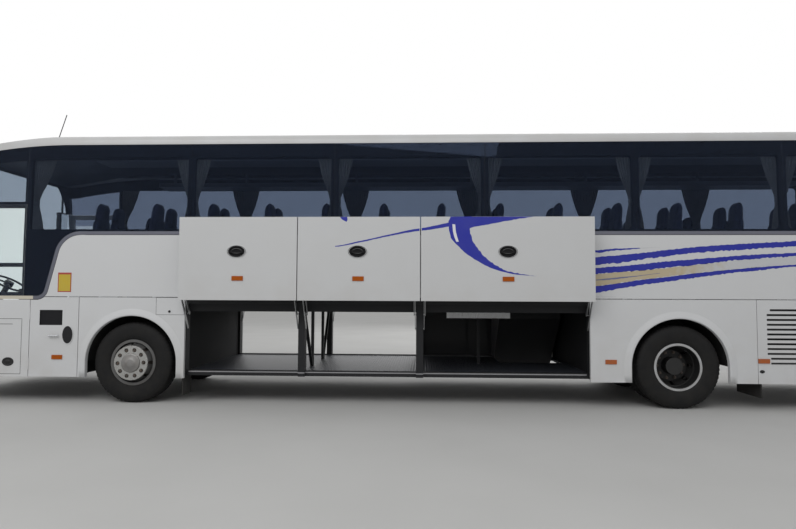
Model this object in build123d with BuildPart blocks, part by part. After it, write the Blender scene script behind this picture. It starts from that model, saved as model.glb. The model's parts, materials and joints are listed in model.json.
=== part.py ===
from build123d import *
from math import atan2, cos, degrees, radians, sin, sqrt, tan
import os

# Coach bus at full size in millimetres.
# +X runs to the rear, +Y to the vehicle's right and +Z up.
# The origin is on the ground, under the middle of the coach.

os.makedirs("parts", exist_ok=True)

# Body envelope
LENGTH = 13200
WIDTH = 2550
SKIRT_Z = 333
ROOF_Z = 3600
ROOF_EDGE_Z = 3510
SIDE_LEAN = 28
COVE_RADIUS = 120
WALL = 45
GLASS = 12

# Clearances: around moving panels, between fixed panels, between panes, and a seated face
SHUT_LINE = 8
PANEL_GAP = 6
PANE_GAP = 6
SEAT = 0.3

# Body ends: bow of the plan, corner radius, height where the rake starts and rake
FRONT_BOW = 170
FRONT_CORNER = 320
FRONT_RAKE_Z = 1150
FRONT_RAKE = 10.5
REAR_BOW = 60
REAR_CORNER = 150
REAR_RAKE_Z = 1380
REAR_RAKE = 3.5
DOME_START_X = -3200
DOME_RADIUS = 14500
BROW_RADIUS = 480
REAR_BROW_RADIUS = 250
DOME_CLEAR = 12
END_CLEAR = 5

# Lines of the side: seam over the skirt, waist, belt moulding and the roof's lower edge
SEAM_Z = 1370
WAIST_Z = 2190
BELT_STRIP = 44
WINDOW_TOP_Z = 3390
WINDOW_ARC_X = -4600
WINDOW_ARC_RADIUS = 6800
FRONT_CORNER_X = -6080
REAR_CORNER_X = 6350
SWEEP_TOP_X = -4652
SWEEP_FOOT_X = -4865
SWEEP_FOOT_Z = 1341
SWEEP_RADIUS = 300
SWEEP_FOOT_RADIUS = 150
WINDOW_JOINTS = (-5160, -2960, -1070, 871, 2778, 4606)
PILLAR = 90
PANE_TOP_Z = 3215
PANE_BOTTOM_Z = 2262
PANE_CORNER = 60
FRAME_DEPTH = 48
DRIVER_PANE_Z = 1434
DRIVER_PANE_X = (-6030, -5192)
DRIVER_BARS_Z = ((1766, 1818), (2549, 2629))

# Roof fittings: from X, to X, half width and top of each box, and the antenna's two ends
ROOF_BOXES = (((300, 2500), 600, 3645), ((-2700, -1950), 375, 3640), ((4100, 4850), 375, 3640))
BOX_BEVEL = 25
ANTENNA = ((-5102, -800, 3445), (-4947, -800, 3934))
ANTENNA_RADIUS = 6
ANTENNA_FOOT = 55

# Running gear
FRONT_AXLE_X = -3700
REAR_AXLE_X = 3286
TYRE_RADIUS = 522
TYRE_WIDTH = 290
TYRE_FACE_Y = 1235
RIM_RADIUS = 298
BEAD_RADIUS = 282
RIM_WIDTH = 234
TWIN_PITCH = 330
BARREL_RADIUS = 262
RIM_FLANGE = 9.5
FLANGE_CLEAR = 1.5
TREAD_WIDTH = 200
TREAD_EDGE = 26
SHOULDER_DROP = 17
WALL_BULGE_RADIUS = 410
# wheel disc section: distance towards its face from the rim's middle, radius
DISC_SECTION = (
    (30, 266),
    (70, 255),
    (150, 222),
    (165, 204),
    (165, 100),
    (149, 100),
    (149, 196),
    (138, 208),
    (64, 239),
    (30, 248),
)
HUB_RADIUS = 108
FRONT_HUB_Y = (1030, 1268)
REAR_HUB_Y = (690, 1095)
HAND_HOLE_RADIUS = 24
HAND_HOLE_CIRCLE = 232
HAND_HOLE_COUNT = 8
SPINDLE_RADIUS = 45
SPINDLE_CLEAR = 0.5
FRONT_SPINDLE_Y = 1205
REAR_SPINDLE_Y = 1000
KINGPIN_Y = 930
KINGPIN_RADIUS = 24
STEER_ARM = 220
STEER_ARM_THICK = 24
STEER_ARM_HALF = 22
TIE_ROD_RADIUS = 20
TIE_ROD_Z = (390, 428)
TIE_EYE_RADIUS = 28
BALL_STUD_RADIUS = 10
LUG_HALF = 50
EYE_RADIUS = 46
KNUCKLE_WEB_Y = (52, 85)
FORK_Z = (430, 466, 475, 569, 574, 612)
BEAM_HALF = 45
BEAM_DROP_Z = (385, 475)
BEAM_DROP_Y = 640
BEAM_END_Z = (480, 565)
BEAM_END_Y = 890
AXLE_TUBE_RADIUS = 85
AXLE_TUBE_Y = 660
FINAL_DRIVE_RADIUS = 200
PINION_RADIUS = 90
PINION_REACH = 330
PROP_SHAFT_RADIUS = 45
REAR_SPRING_Z = 600
AIR_SPRING_RADIUS = 105
AIR_SPRING_Y = 405
RAIL_Y = (365, 445)
RAIL_Z = (730, 860)
ARCH_RADIUS = 598
ARCH_Z = 532
ARCH_LIP = 24
ARCH_LIP_PROUD = 6
LINER_RADIUS = 628
LINER = 6
LINER_INNER_Y = 520

# Mudflaps and mirrors: the arm's foot, bend and tip
FRONT_FLAP_X = (-3040, -3028)
FRONT_FLAP_Y = (945, 1224)
FRONT_FLAP_Z = 110
REAR_FLAP_X = (4285, 4297)
REAR_FLAP_Y = (640, 1224)
REAR_FLAP_Z = 146
FLAP_HANGER_X = (4240, 4284.7)
FLAP_HANGER_Z = (745, 785)
MIRROR_ARM = ((-5750, 1080, 3340), (-6350, 1430, 3240), (-6350, 1430, 2850))
MIRROR_ARM_RADIUS = 18
MIRROR_SIZE = (100, 220, 430)
MIRROR_CORNER = 35

# Luggage hold, floors and stairs
HOLD_FLOOR_Z = 414
HOLD_FLOOR = 34
FLOOR_Z = 1345
FLOOR = 55
FLOOR_FRONT_X = -5100
FLOOR_REAR_X = 6290
CAB_FLOOR_Z = 920
LINTEL_Z = 1192
SILL_Z = (360, 430)
POST_Y = (1100, 1225)
RAIL_OUTER_Y = 1165
RAIL_DEPTH = 60
RAIL_HEIGHT = 40
BULKHEAD = 30
LATTICE_Y = 430
LATTICE_TUBE = 40
STEP_COUNT = 4
STAIR_INNER_Y = 200
STAIR_WALL = 25
FRONT_STAIR_Y = 475
CAB_STEP_DEPTH = 330
CAB_STEP_HALF = 330
FRONT_RAIL_X = -4380
FOOT_RAIL_Z = (1385, 1425)
BELT_RAIL_Z = (2120, 2200)
STUD_XS = (-3900, -2960, -1070, 871, 2700, 4606, 6000)
FRONT_RAIL_END_X = -6300
REAR_RAIL_END_X = 6330
FRONT_MEMBERS = (-6200, -5300, -4500, -3150)
REAR_MEMBERS = (2350, 4200, 6220)
HOLD_LAMP_X = (430, 1360)
HOLD_LAMP_Z = (1080, 1170)
HOLD_POST_X = 880
ENGINE_X = (4700, 5950)
ENGINE_Z = (480, 1240)
TOW_REACH = 70
TOW_EYE_RADIUS = 22
TOW_EYE_WALL = 30
TOW_PLATE = 30
TOW_PLATE_DROP = 65

# Raised luggage doors and the links that carry them
DOOR_RISE = 1012.5
DOOR_OUT = 289
DOOR_BOTTOM_Z = 329
DOOR_TOP_Z = 1370
DOOR_SHEET = 18
DOOR_BORDER = 70
PIVOT_Y = 1195
UPPER_PIVOT_Z = 1165
LOWER_PIVOT_Z = 985
LINK_WIDTH = 36
LINK_THICK = 8
LINK_PITCH = 16
PIN_RADIUS = 9
PIN_CLEAR = 0.3
PIN_DEPTH = 30
LUG_RADIUS = 20
HANDLE_LENGTH = 245
HANDLE_HEIGHT = 155
HANDLE_PROUD = 8
HANDLE_ABOVE_BOTTOM = 608
MARKER_LENGTH = 140
MARKER_HEIGHT = 55
MARKER_PROUD = 10
MARKER_ABOVE_BOTTOM = 272

# Passenger doors, locker and engine lid
FRONT_DOOR = (-6060, -5205)
FRONT_DOOR_TOP_Z = 2780
MIDDLE_DOOR = (1250, 2110)
DOORWAY_Z = 340
DOOR_FRAME = 75
LOCKER = (-5059, -4412)
LOCKER_BOTTOM_Z = 337
LOCKER_INNER_Y = 560
LOCKER_VENT_X = (-4929, -4627)
LOCKER_VENT_Z = (1006, 1199)
LOCKER_VENT_DEPTH = 12
LOCKER_LOCK = (-4547, 880)
LOCK_SIZE = (150, 246)
LOCKER_HANDLE_X = (-4790, -4656)
LOCKER_HANDLE_Z = 870
LOCKER_GRIP_Y = 1310
GRIP_RADIUS = 10
LOCKER_MARKER = (-4680, 590)
LOCKER_WALL = 20
HINGE_RADIUS = 9
HINGE_PIN_RADIUS = 5
HINGE_BARREL = 70
HINGE_STUB = 40
HINGE_GAP = 1
HINGE_WEB = 30
FRONT_DOOR_HINGE_Z = (480, 1060)
MIDDLE_DOOR_HINGE_Z = (600, 1900)
LOCKER_HINGE_Z = (500, 1150)
ENGINE_HINGE_X = 6596
ENGINE_HINGE_Y = 400
ENGINE_DOOR_X = 4231
ENGINE_LID_HALF = 1050
ENGINE_LID_Z = (520, 1372)
SLOT_COUNT = 12
SLOT_PITCH = 60
SLOT_HEIGHT = 26
SLOT_LENGTH = 1250
SLOT_X = 4351
SHORT_SLOTS = (0, 10, 11)
SHORT_SLOT_X = 4391
SLOT_TOP_Z = 1244
REAR_GLASS_HALF = 900
REAR_GLASS_Z = (2380, 3160)
LAMP_PROUD = 3
LAMP_DEPTH = 22

# side markers: X, Z
SIDE_MARKERS = ((2433, 588), (4303, 614))

# lamps at each end: near Y, far Y, low Z, high Z
HEAD_LAMPS = ((640, 880, 640, 800), (900, 1120, 640, 800))
TAIL_LAMPS = ((1085, 1200, 560, 700), (1085, 1200, 720, 860), (1085, 1200, 880, 1020), (1085, 1200, 1040, 1180))

# Saloon: seat section as ahead of the back's foot and height over the floor
SEAT_SECTION = ((-430, 430), (-430, 540), (-70, 555), (10, 1330), (90, 1330), (60, 500), (0, 430))
PEDESTAL_X = (330, 130)
PEDESTAL_HALF = 60
REAR_BENCH_WIDTH = 2300
SEAT_PITCH = 770
SEAT_ROWS = 13
FIRST_SEAT_X = -4350
SEAT_CENTRE_Y = 735
SEAT_PAIR_WIDTH = 880
REAR_BENCH_X = 5900
DRIVER_SEAT = (-5130, -650)
DRIVER_SEAT_WIDTH = 500
DASH_X = -6060
DASH_TOP_Z = 1220
STEERING_WHEEL = (-5800, -650, 1560)
STEERING_WHEEL_RADIUS = 225
STEERING_TILT = 30
STEERING_HUB_RADIUS = 60
HUB_TOP = 25
RING_RADIUS = 14
SPOKE_RADIUS = 11
COLUMN_RADIUS = 38
COLUMN_PIN_RADIUS = 14
COLUMN_GAP = 40
COLUMN_LENGTH = 620
RACK_Y = (760, 1158)
RACK_Z = (3185, 3255)
RACK_X = (-4300, 6000)
RACK_HANGER = 35
RACK_HANGER_XS = (-4200, -2960, -1070, 871, 2778, 4606, 5900)
CURTAIN_DEPTH = 24
CURTAIN_Z = (2235, 3200)
CURTAIN_TOP = 240
CURTAIN_TIE = 70
CURTAIN_FOOT = 130
CURTAIN_TIE_Z = 2620

HALF_WIDTH = WIDTH / 2
FRONT_X = -LENGTH / 2
REAR_X = LENGTH / 2
PANEL_Y = HALF_WIDTH - WALL
REACH = LENGTH
FRONT_SLOPE = tan(radians(FRONT_RAKE))
REAR_SLOPE = tan(radians(REAR_RAKE))
TYRE_CENTRE_Y = TYRE_FACE_Y - TYRE_WIDTH / 2
WHEEL_Z = TYRE_RADIUS
# the links swing by twice the slope angle of the door's whole travel
DOOR_SWING = 2 * atan2(DOOR_RISE, DOOR_OUT)
LINK_LENGTH = DOOR_RISE / (1 - cos(DOOR_SWING))
RAISED_Y = HALF_WIDTH + DOOR_OUT
RAISED_BOTTOM_Z = DOOR_BOTTOM_Z + DOOR_RISE
RAISED_TOP_Z = DOOR_TOP_Z + DOOR_RISE

# side and the sign of its Y
SIDES = (("left", -1), ("right", 1))

# luggage bay: number, opening from X, opening to X, door from X, door to X, handle X, marker X
BAYS = (
    (1, -2998, -1529, -2980, -1491, -2248, -2233),
    (2, -1443, -8, -1479, 42, -731, -723),
    (3, 85, 2183, 55, 2174, 1120, 1124),
)
BAYS_ON = {"left": (1, 2, 3), "right": (1, 2)}

# posts of the hold: from X, to X
POSTS = ((-3058, -2998), (-1529, -1443), (-8, 85), (2183, 2243))


def save(piece, label):
    piece.part.label = label
    export_step(piece.part, f"parts/{label}.step")


def box_between(x, y, z, mode=Mode.ADD):
    """Box between two limits on each axis."""
    with Locations(((x[0] + x[1]) / 2, (y[0] + y[1]) / 2, (z[0] + z[1]) / 2)):
        Box(abs(x[1] - x[0]), abs(y[1] - y[0]), abs(z[1] - z[0]), mode=mode)


def sided(side, near, far):
    """Y limits on one side from two distances off the centre plane."""
    return (side * near, side * far)


def rod(start, end, radius, mode=Mode.ADD):
    """Round bar between two points."""
    axis = Vector(*end) - Vector(*start)
    with BuildSketch(Plane(origin=start, z_dir=axis), mode=Mode.PRIVATE) as section:
        Circle(radius)
    extrude(section.sketch, amount=axis.length, mode=mode)


def rectangle_xz(x, z):
    """Upright rectangle in the centre plane, to be extruded to a side."""
    with BuildSketch(Plane.XZ, mode=Mode.PRIVATE) as outline:
        with Locations(((x[0] + x[1]) / 2, (z[0] + z[1]) / 2)):
            Rectangle(x[1] - x[0], z[1] - z[0])
    return outline.sketch


def end_form(towards, bow, corner, rake_z, rake, inset):
    """Prism with a bowed, round-cornered end, upright up to rake_z and leaning inwards above it."""
    half = HALF_WIDTH - inset
    face_x = towards * (LENGTH / 2 - inset)
    side_x = face_x - towards * bow
    far_x = -towards * REACH
    with BuildPart() as form:
        with BuildSketch(Plane.XY.offset(rake_z), mode=Mode.PRIVATE) as plan:
            with BuildLine():
                ThreePointArc((side_x, -half), (face_x, 0), (side_x, half))
                Polyline((side_x, half), (far_x, half), (far_x, -half), (side_x, -half))
            make_face()
            ends = plan.vertices().sort_by(Axis.X)
            fillet(ends[-2:] if towards > 0 else ends[:2], corner - inset)
        lean = (-towards * sin(radians(rake)), 0, cos(radians(rake)))
        extrude(plan.sketch, amount=2 * (ROOF_Z - rake_z), dir=lean)
        extrude(plan.sketch, amount=-2 * rake_z)
    return form.part


def envelope(inset):
    """Solid inside the coach's outer faces, moved in by inset on every face but the lowest."""
    half = HALF_WIDTH - inset
    top = ROOF_Z + DOME_CLEAR - inset
    edge_z = ROOF_EDGE_Z - inset
    bottom = SKIRT_Z - inset
    dome_radius = DOME_RADIUS - inset
    dome_z = top - dome_radius
    front_x = FRONT_X - END_CLEAR + inset
    rear_x = REAR_X + END_CLEAR - inset
    # height where the dome's arc meets the line of the windscreen
    run = front_x - FRONT_SLOPE * FRONT_RAKE_Z - DOME_START_X
    half_b = run * FRONT_SLOPE - dome_z
    square = FRONT_SLOPE**2 + 1
    brow_z = (-half_b + sqrt(half_b**2 - square * (run**2 + dome_z**2 - dome_radius**2))) / square
    brow_x = front_x + FRONT_SLOPE * (brow_z - FRONT_RAKE_Z)
    middle_x = (brow_x + DOME_START_X) / 2
    middle_z = dome_z + sqrt(dome_radius**2 - (middle_x - DOME_START_X) ** 2)
    with BuildPart() as form:
        with BuildSketch(Plane.YZ.offset(-REACH)) as section:
            with BuildLine():
                Polyline(
                    (-half + SIDE_LEAN, edge_z),
                    (-half, WAIST_Z),
                    (-half, bottom),
                    (half, bottom),
                    (half, WAIST_Z),
                    (half - SIDE_LEAN, edge_z),
                )
                ThreePointArc((half - SIDE_LEAN, edge_z), (0, ROOF_Z - inset), (-half + SIDE_LEAN, edge_z))
            make_face()
            fillet(section.vertices().group_by(Axis.Y)[-1], COVE_RADIUS - inset)
        extrude(amount=2 * REACH)
        with BuildSketch(Plane.XZ) as profile:
            with BuildLine():
                ThreePointArc((DOME_START_X, top), (middle_x, middle_z), (brow_x, brow_z))
                Polyline(
                    (brow_x, brow_z),
                    (front_x, FRONT_RAKE_Z),
                    (front_x, bottom),
                    (rear_x, bottom),
                    (rear_x, REAR_RAKE_Z),
                    (rear_x - REAR_SLOPE * (top - REAR_RAKE_Z), top),
                    (DOME_START_X, top),
                )
            make_face()
            high = profile.vertices().filter_by(lambda v: v.Y > WAIST_Z).sort_by(Axis.X)
            fillet(high[0], BROW_RADIUS - inset)
            fillet(high[-1], REAR_BROW_RADIUS - inset)
        extrude(amount=REACH, both=True, mode=Mode.INTERSECT)
        add(end_form(-1, FRONT_BOW, FRONT_CORNER, FRONT_RAKE_Z, FRONT_RAKE, inset), mode=Mode.INTERSECT)
        add(end_form(1, REAR_BOW, REAR_CORNER, REAR_RAKE_Z, REAR_RAKE, inset), mode=Mode.INTERSECT)
    return form.part


outer = envelope(0)
wall_shell = outer - envelope(WALL)
glass_shell = outer - envelope(GLASS)
frame_shell = envelope(GLASS + SEAT) - envelope(GLASS + SEAT + FRAME_DEPTH)
inside = envelope(WALL + SEAT)


def arc_height(x, drop):
    """Height of the roof's lower edge, less drop, where it curves down at the front."""
    return WINDOW_TOP_Z - drop - WINDOW_ARC_RADIUS + sqrt(WINDOW_ARC_RADIUS**2 - (x - WINDOW_ARC_X) ** 2)


SCREEN_TOP_Z = arc_height(FRONT_CORNER_X, 0)


def window_top(drop, start_x, end_x):
    """Lower edge of the roof, less drop: an arc up from the front, then level to the rear."""
    middle_x = (start_x + WINDOW_ARC_X) / 2
    level_z = WINDOW_TOP_Z - drop
    ThreePointArc(
        (start_x, arc_height(start_x, drop)),
        (middle_x, arc_height(middle_x, drop)),
        (WINDOW_ARC_X, level_z),
    )
    Line((WINDOW_ARC_X, level_z), (end_x, level_z))


def sweep_line(shift, front_x):
    """Lower edge of the belt moulding, moved up and forwards by shift; returns its two ends."""
    slope = (SWEEP_TOP_X - SWEEP_FOOT_X) / (WAIST_Z - SWEEP_FOOT_Z)
    back = slope * shift - shift * sqrt(1 + slope**2)
    top_z = WAIST_Z + shift
    foot_z = SWEEP_FOOT_Z + shift
    FilletPolyline(
        (REAR_CORNER_X, top_z),
        (SWEEP_TOP_X + back, top_z),
        (SWEEP_FOOT_X + back, foot_z),
        (front_x, foot_z),
        radius=[SWEEP_RADIUS + shift, SWEEP_FOOT_RADIUS - shift],
    )
    return top_z, foot_z


def glazed_band(shift, drop, front_x):
    """Sketch between the belt moulding and the roof's edge."""
    with BuildSketch(Plane.XZ, mode=Mode.PRIVATE) as band:
        with BuildLine():
            top_z, foot_z = sweep_line(shift, front_x)
            window_top(drop, front_x, REAR_CORNER_X)
            Line((front_x, foot_z), (front_x, arc_height(front_x, drop)))
            Line((REAR_CORNER_X, top_z), (REAR_CORNER_X, WINDOW_TOP_Z - drop))
        make_face()
    return band.sketch


def below_belt(shift):
    """Sketch of everything on a side under the belt moulding's lower edge, moved by shift."""
    with BuildSketch(Plane.XZ, mode=Mode.PRIVATE) as lower:
        with BuildLine():
            top_z, foot_z = sweep_line(shift, FRONT_X)
            Polyline((FRONT_X, foot_z), (FRONT_X, 0), (REAR_CORNER_X, 0), (REAR_CORNER_X, top_z))
        make_face()
    return lower.sketch


def arch_opening(axle_x, radius):
    """Sketch of a wheel arch: a half round with straight legs."""
    with BuildSketch(Plane.XZ, mode=Mode.PRIVATE) as arch:
        with BuildLine():
            ThreePointArc((axle_x - radius, ARCH_Z), (axle_x, ARCH_Z + radius), (axle_x + radius, ARCH_Z))
            Polyline((axle_x + radius, ARCH_Z), (axle_x + radius, 0), (axle_x - radius, 0), (axle_x - radius, ARCH_Z))
        make_face()
    return arch.sketch


# hinge: along its axis, towards the moving panel, inwards, and the middle of each barrel
HINGES = {
    "front_door": (
        Vector(0, 0, 1),
        Vector(1, 0, 0),
        Vector(0, -1, 0),
        [Vector((FRONT_CORNER_X - PANE_GAP / 2 + FRONT_DOOR[0]) / 2, HALF_WIDTH, z) for z in FRONT_DOOR_HINGE_Z],
    ),
    "middle_door": (
        Vector(0, 0, 1),
        Vector(1, 0, 0),
        Vector(0, -1, 0),
        [Vector(MIDDLE_DOOR[0] - SHUT_LINE / 2, HALF_WIDTH, z) for z in MIDDLE_DOOR_HINGE_Z],
    ),
    "locker_door": (
        Vector(0, 0, 1),
        Vector(1, 0, 0),
        Vector(0, 1, 0),
        [Vector(LOCKER[0] - SHUT_LINE / 2, -HALF_WIDTH, z) for z in LOCKER_HINGE_Z],
    ),
    "engine_lid": (
        Vector(0, 1, 0),
        Vector(0, 0, -1),
        Vector(-1, 0, 0),
        [Vector(ENGINE_HINGE_X, y, ENGINE_LID_Z[1] + SHUT_LINE / 2) for y in (-ENGINE_HINGE_Y, ENGINE_HINGE_Y)],
    ),
}


def hinge_piece(centre, hinge, span, towards):
    """Length of hinge barrel with a web that runs into its panel."""
    along, into, inwards, _ = hinge
    start = centre + along * span[0]
    end = centre + along * span[1]
    rod(tuple(start), tuple(end), HINGE_RADIUS)
    corner = end + into * (towards * HINGE_WEB) + inwards * HINGE_RADIUS
    box_between((start.X, corner.X), (start.Y, corner.Y), (start.Z, corner.Z))


def hang(hinge, moving):
    """A panel's half of its hinges: bored barrels on the moving panel, stubs with a pin on the fixed one."""
    along, _, _, centres = hinge
    half = HINGE_BARREL / 2
    near = half + HINGE_GAP
    far = near + HINGE_STUB
    relief = HINGE_RADIUS + SPINDLE_CLEAR
    for centre in centres:
        pin = (tuple(centre - along * far), tuple(centre + along * far))
        if moving:
            for towards in (-1, 1):
                start = centre + along * (towards * half)
                end = centre + along * (towards * (far + HINGE_GAP))
                rod(tuple(start), tuple(end), relief, mode=Mode.SUBTRACT)
            hinge_piece(centre, hinge, (-half, half), 1)
            rod(*pin, HINGE_PIN_RADIUS + PIN_CLEAR, mode=Mode.SUBTRACT)
        else:
            rod(tuple(centre - along * near), tuple(centre + along * near), relief, mode=Mode.SUBTRACT)
            hinge_piece(centre, hinge, (-far, -near), -1)
            hinge_piece(centre, hinge, (near, far), -1)
            rod(*pin, HINGE_PIN_RADIUS)


# Glazing of the two sides: flush panes, parted at the window joints
with BuildPart() as side_windows:
    add(glass_shell)
    panes = glazed_band(BELT_STRIP + PANE_GAP / 2, PANE_GAP / 2, FRONT_CORNER_X + PANE_GAP / 2)
    extrude(panes, amount=REACH, both=True, mode=Mode.INTERSECT)
    for joint_x in WINDOW_JOINTS:
        half_gap = PANE_GAP / 2
        box_between((joint_x - half_gap, joint_x + half_gap), (-REACH, REACH), (0, 2 * ROOF_Z), mode=Mode.SUBTRACT)
    front_doorway = rectangle_xz((FRONT_X, FRONT_DOOR[1] + SHUT_LINE), (0, FRONT_DOOR_TOP_Z + SHUT_LINE))
    extrude(front_doorway, amount=-REACH, mode=Mode.SUBTRACT)
save(side_windows, "side_windows")

# Frames that the panes are bonded to, with one rounded aperture for each window
window_ends = WINDOW_JOINTS + (REAR_CORNER_X - PILLAR / 2,)
with BuildPart() as window_frames:
    add(frame_shell)
    frames = glazed_band(BELT_STRIP + SEAT, SEAT, FRONT_CORNER_X + PANE_GAP / 2)
    extrude(frames, amount=REACH, both=True, mode=Mode.INTERSECT)
    for joint_x, next_x in zip(window_ends[:-1], window_ends[1:]):
        start_x = joint_x + PILLAR / 2
        end_x = next_x - PILLAR / 2
        with BuildSketch(Plane.XZ, mode=Mode.PRIVATE) as aperture:
            if start_x < WINDOW_ARC_X:
                with BuildLine():
                    window_top(WINDOW_TOP_Z - PANE_TOP_Z, start_x, end_x)
                    Polyline(
                        (start_x, arc_height(start_x, WINDOW_TOP_Z - PANE_TOP_Z)),
                        (start_x, PANE_BOTTOM_Z),
                        (end_x, PANE_BOTTOM_Z),
                        (end_x, PANE_TOP_Z),
                    )
                make_face()
            else:
                with Locations(((start_x + end_x) / 2, (PANE_BOTTOM_Z + PANE_TOP_Z) / 2)):
                    Rectangle(end_x - start_x, PANE_TOP_Z - PANE_BOTTOM_Z)
                fillet(aperture.vertices(), PANE_CORNER)
        extrude(aperture.sketch, amount=REACH, both=True, mode=Mode.SUBTRACT)
    with BuildSketch(Plane.XZ, mode=Mode.PRIVATE) as driver_aperture:
        with BuildLine():
            start_x, end_x = DRIVER_PANE_X
            drop = WINDOW_TOP_Z - PANE_TOP_Z
            middle_x = (start_x + end_x) / 2
            ThreePointArc(
                (start_x, arc_height(start_x, drop)),
                (middle_x, arc_height(middle_x, drop)),
                (end_x, arc_height(end_x, drop)),
            )
            Polyline(
                (start_x, arc_height(start_x, drop)),
                (start_x, DRIVER_PANE_Z),
                (end_x, DRIVER_PANE_Z),
                (end_x, arc_height(end_x, drop)),
            )
        make_face()
    extrude(driver_aperture.sketch, amount=REACH, both=True, mode=Mode.SUBTRACT)
    for bar_z in DRIVER_BARS_Z:
        bar = rectangle_xz((DRIVER_PANE_X[0] - 1, DRIVER_PANE_X[1] + 1), bar_z)
        add(extrude(bar, amount=REACH, mode=Mode.PRIVATE) & frame_shell)
    extrude(front_doorway, amount=-REACH, mode=Mode.SUBTRACT)

# Belt mouldings: along the waist, swept down to the front wheel arch and on to the nose
with BuildPart() as belt_mouldings:
    add(wall_shell)
    moulding = glazed_band(SEAT, 0, FRONT_CORNER_X + PANE_GAP / 2) - glazed_band(BELT_STRIP, -WALL, FRONT_X)
    extrude(moulding, amount=REACH, both=True, mode=Mode.INTERSECT)
    extrude(front_doorway, amount=-REACH, mode=Mode.SUBTRACT)
save(belt_mouldings, "belt_mouldings")

def roof_box(x, half, top_z):
    """Low box with bevelled upper edges, standing on the roof."""
    with BuildPart() as cover:
        box_between(x, (-half, half), (ROOF_EDGE_Z, top_z))
        chamfer(cover.faces().sort_by(Axis.Z)[-1].edges(), BOX_BEVEL)
    return cover.part


# Roof: dome, coves and top in one skin, with the air conditioning pod, two hatches and the antenna
pod_seat = envelope(WALL / 2)
with BuildPart() as roof:
    add(wall_shell)
    with BuildSketch(Plane.XZ) as above:
        with BuildLine():
            window_top(0, FRONT_CORNER_X, 2 * REAR_X)
            Polyline(
                (FRONT_CORNER_X, SCREEN_TOP_Z),
                (2 * FRONT_X, SCREEN_TOP_Z),
                (2 * FRONT_X, 2 * ROOF_Z),
                (2 * REAR_X, 2 * ROOF_Z),
                (2 * REAR_X, WINDOW_TOP_Z),
            )
        make_face()
    extrude(amount=REACH, both=True, mode=Mode.INTERSECT)
    for box_x, half, top_z in ROOF_BOXES:
        add(roof_box(box_x, half, top_z) - pod_seat)
    rod(ANTENNA[0], ANTENNA[1], ANTENNA_RADIUS)
    rod(ANTENNA[0], tuple(Vector(*ANTENNA[0]) + Vector(0, 0, ANTENNA_FOOT)), 3 * ANTENNA_RADIUS)
save(roof, "roof")

# Windscreen, wrapped round both corners
with BuildPart() as windscreen:
    add(glass_shell)
    screen = rectangle_xz((2 * FRONT_X, FRONT_CORNER_X - PANE_GAP / 2), (FRONT_RAKE_Z + SEAT, SCREEN_TOP_Z - SEAT))
    extrude(screen, amount=REACH, both=True, mode=Mode.INTERSECT)
save(windscreen, "windscreen")

# Side panels: waist panels over the seam, skirts with wheel arches, and grilles beside the engine
skirt_spans = {
    "left": ((FRONT_CORNER_X + PANE_GAP / 2, LOCKER[0] - SHUT_LINE), (LOCKER[1] + SHUT_LINE, BAYS[0][1] - PANEL_GAP)),
    "right": ((FRONT_DOOR[1] + SHUT_LINE, BAYS[0][1] - PANEL_GAP), (BAYS[1][4] + SHUT_LINE, MIDDLE_DOOR[0] - SHUT_LINE)),
}
rear_start = {"left": BAYS[2][4] + SHUT_LINE, "right": MIDDLE_DOOR[1] + SHUT_LINE}
for side_name, side in SIDES:
    spans = skirt_spans[side_name] + (
        (rear_start[side_name], ENGINE_DOOR_X - PANEL_GAP / 2),
        (ENGINE_DOOR_X + PANEL_GAP / 2, REAR_CORNER_X - PANEL_GAP / 2),
    )
    with BuildPart() as side_panels:
        add(wall_shell)
        extrude(below_belt(-PANEL_GAP), amount=-side * REACH, mode=Mode.INTERSECT)
        waist_front_x = SWEEP_FOOT_X - BELT_STRIP
        outlines = [rectangle_xz((waist_front_x, REAR_CORNER_X), (SEAM_Z + SHUT_LINE, WAIST_Z))]
        outlines += [rectangle_xz(span, (0, SEAM_Z)) for span in spans]
        kept = outlines[0]
        for outline in outlines[1:]:
            kept = kept + outline
        extrude(kept, amount=-side * REACH, mode=Mode.INTERSECT)
        for axle_x in (FRONT_AXLE_X, REAR_AXLE_X):
            lip = arch_opening(axle_x, ARCH_RADIUS + ARCH_LIP) - rectangle_xz((FRONT_X, REAR_X), (0, SKIRT_Z))
            with BuildSketch(Plane.XZ.offset(-side * (HALF_WIDTH - WALL)), mode=Mode.PRIVATE) as rim:
                add(lip)
            extrude(rim.sketch, amount=-side * (WALL + ARCH_LIP_PROUD))
            extrude(arch_opening(axle_x, ARCH_RADIUS), amount=-side * REACH, mode=Mode.SUBTRACT)
        if side_name == "right":
            middle_doorway = rectangle_xz((MIDDLE_DOOR[0] - SHUT_LINE, MIDDLE_DOOR[1] + SHUT_LINE), (0, REACH))
            extrude(middle_doorway, amount=-side * REACH, mode=Mode.SUBTRACT)
        for row in range(SLOT_COUNT):
            slot_z = SLOT_TOP_Z - row * SLOT_PITCH
            slot_x = (SHORT_SLOT_X if row in SHORT_SLOTS else SLOT_X, SLOT_X + SLOT_LENGTH)
            slot = rectangle_xz(slot_x, (slot_z - SLOT_HEIGHT / 2, slot_z + SLOT_HEIGHT / 2))
            extrude(slot, amount=-side * REACH, mode=Mode.SUBTRACT)
        hang(HINGES["locker_door" if side_name == "left" else "middle_door"], moving=False)
    save(side_panels, f"side_panels_{side_name}")

# Rear panel round the window and the engine lid, with pockets for the lamps
rear_window_size = (2 * REAR_GLASS_HALF, REAR_GLASS_Z[1] - REAR_GLASS_Z[0])
rear_window_z = (REAR_GLASS_Z[0] + REAR_GLASS_Z[1]) / 2
lamp_shell = envelope(-LAMP_PROUD) - envelope(LAMP_DEPTH)
lamp_pocket = envelope(-2 * LAMP_PROUD) - envelope(LAMP_DEPTH + SEAT)


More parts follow.
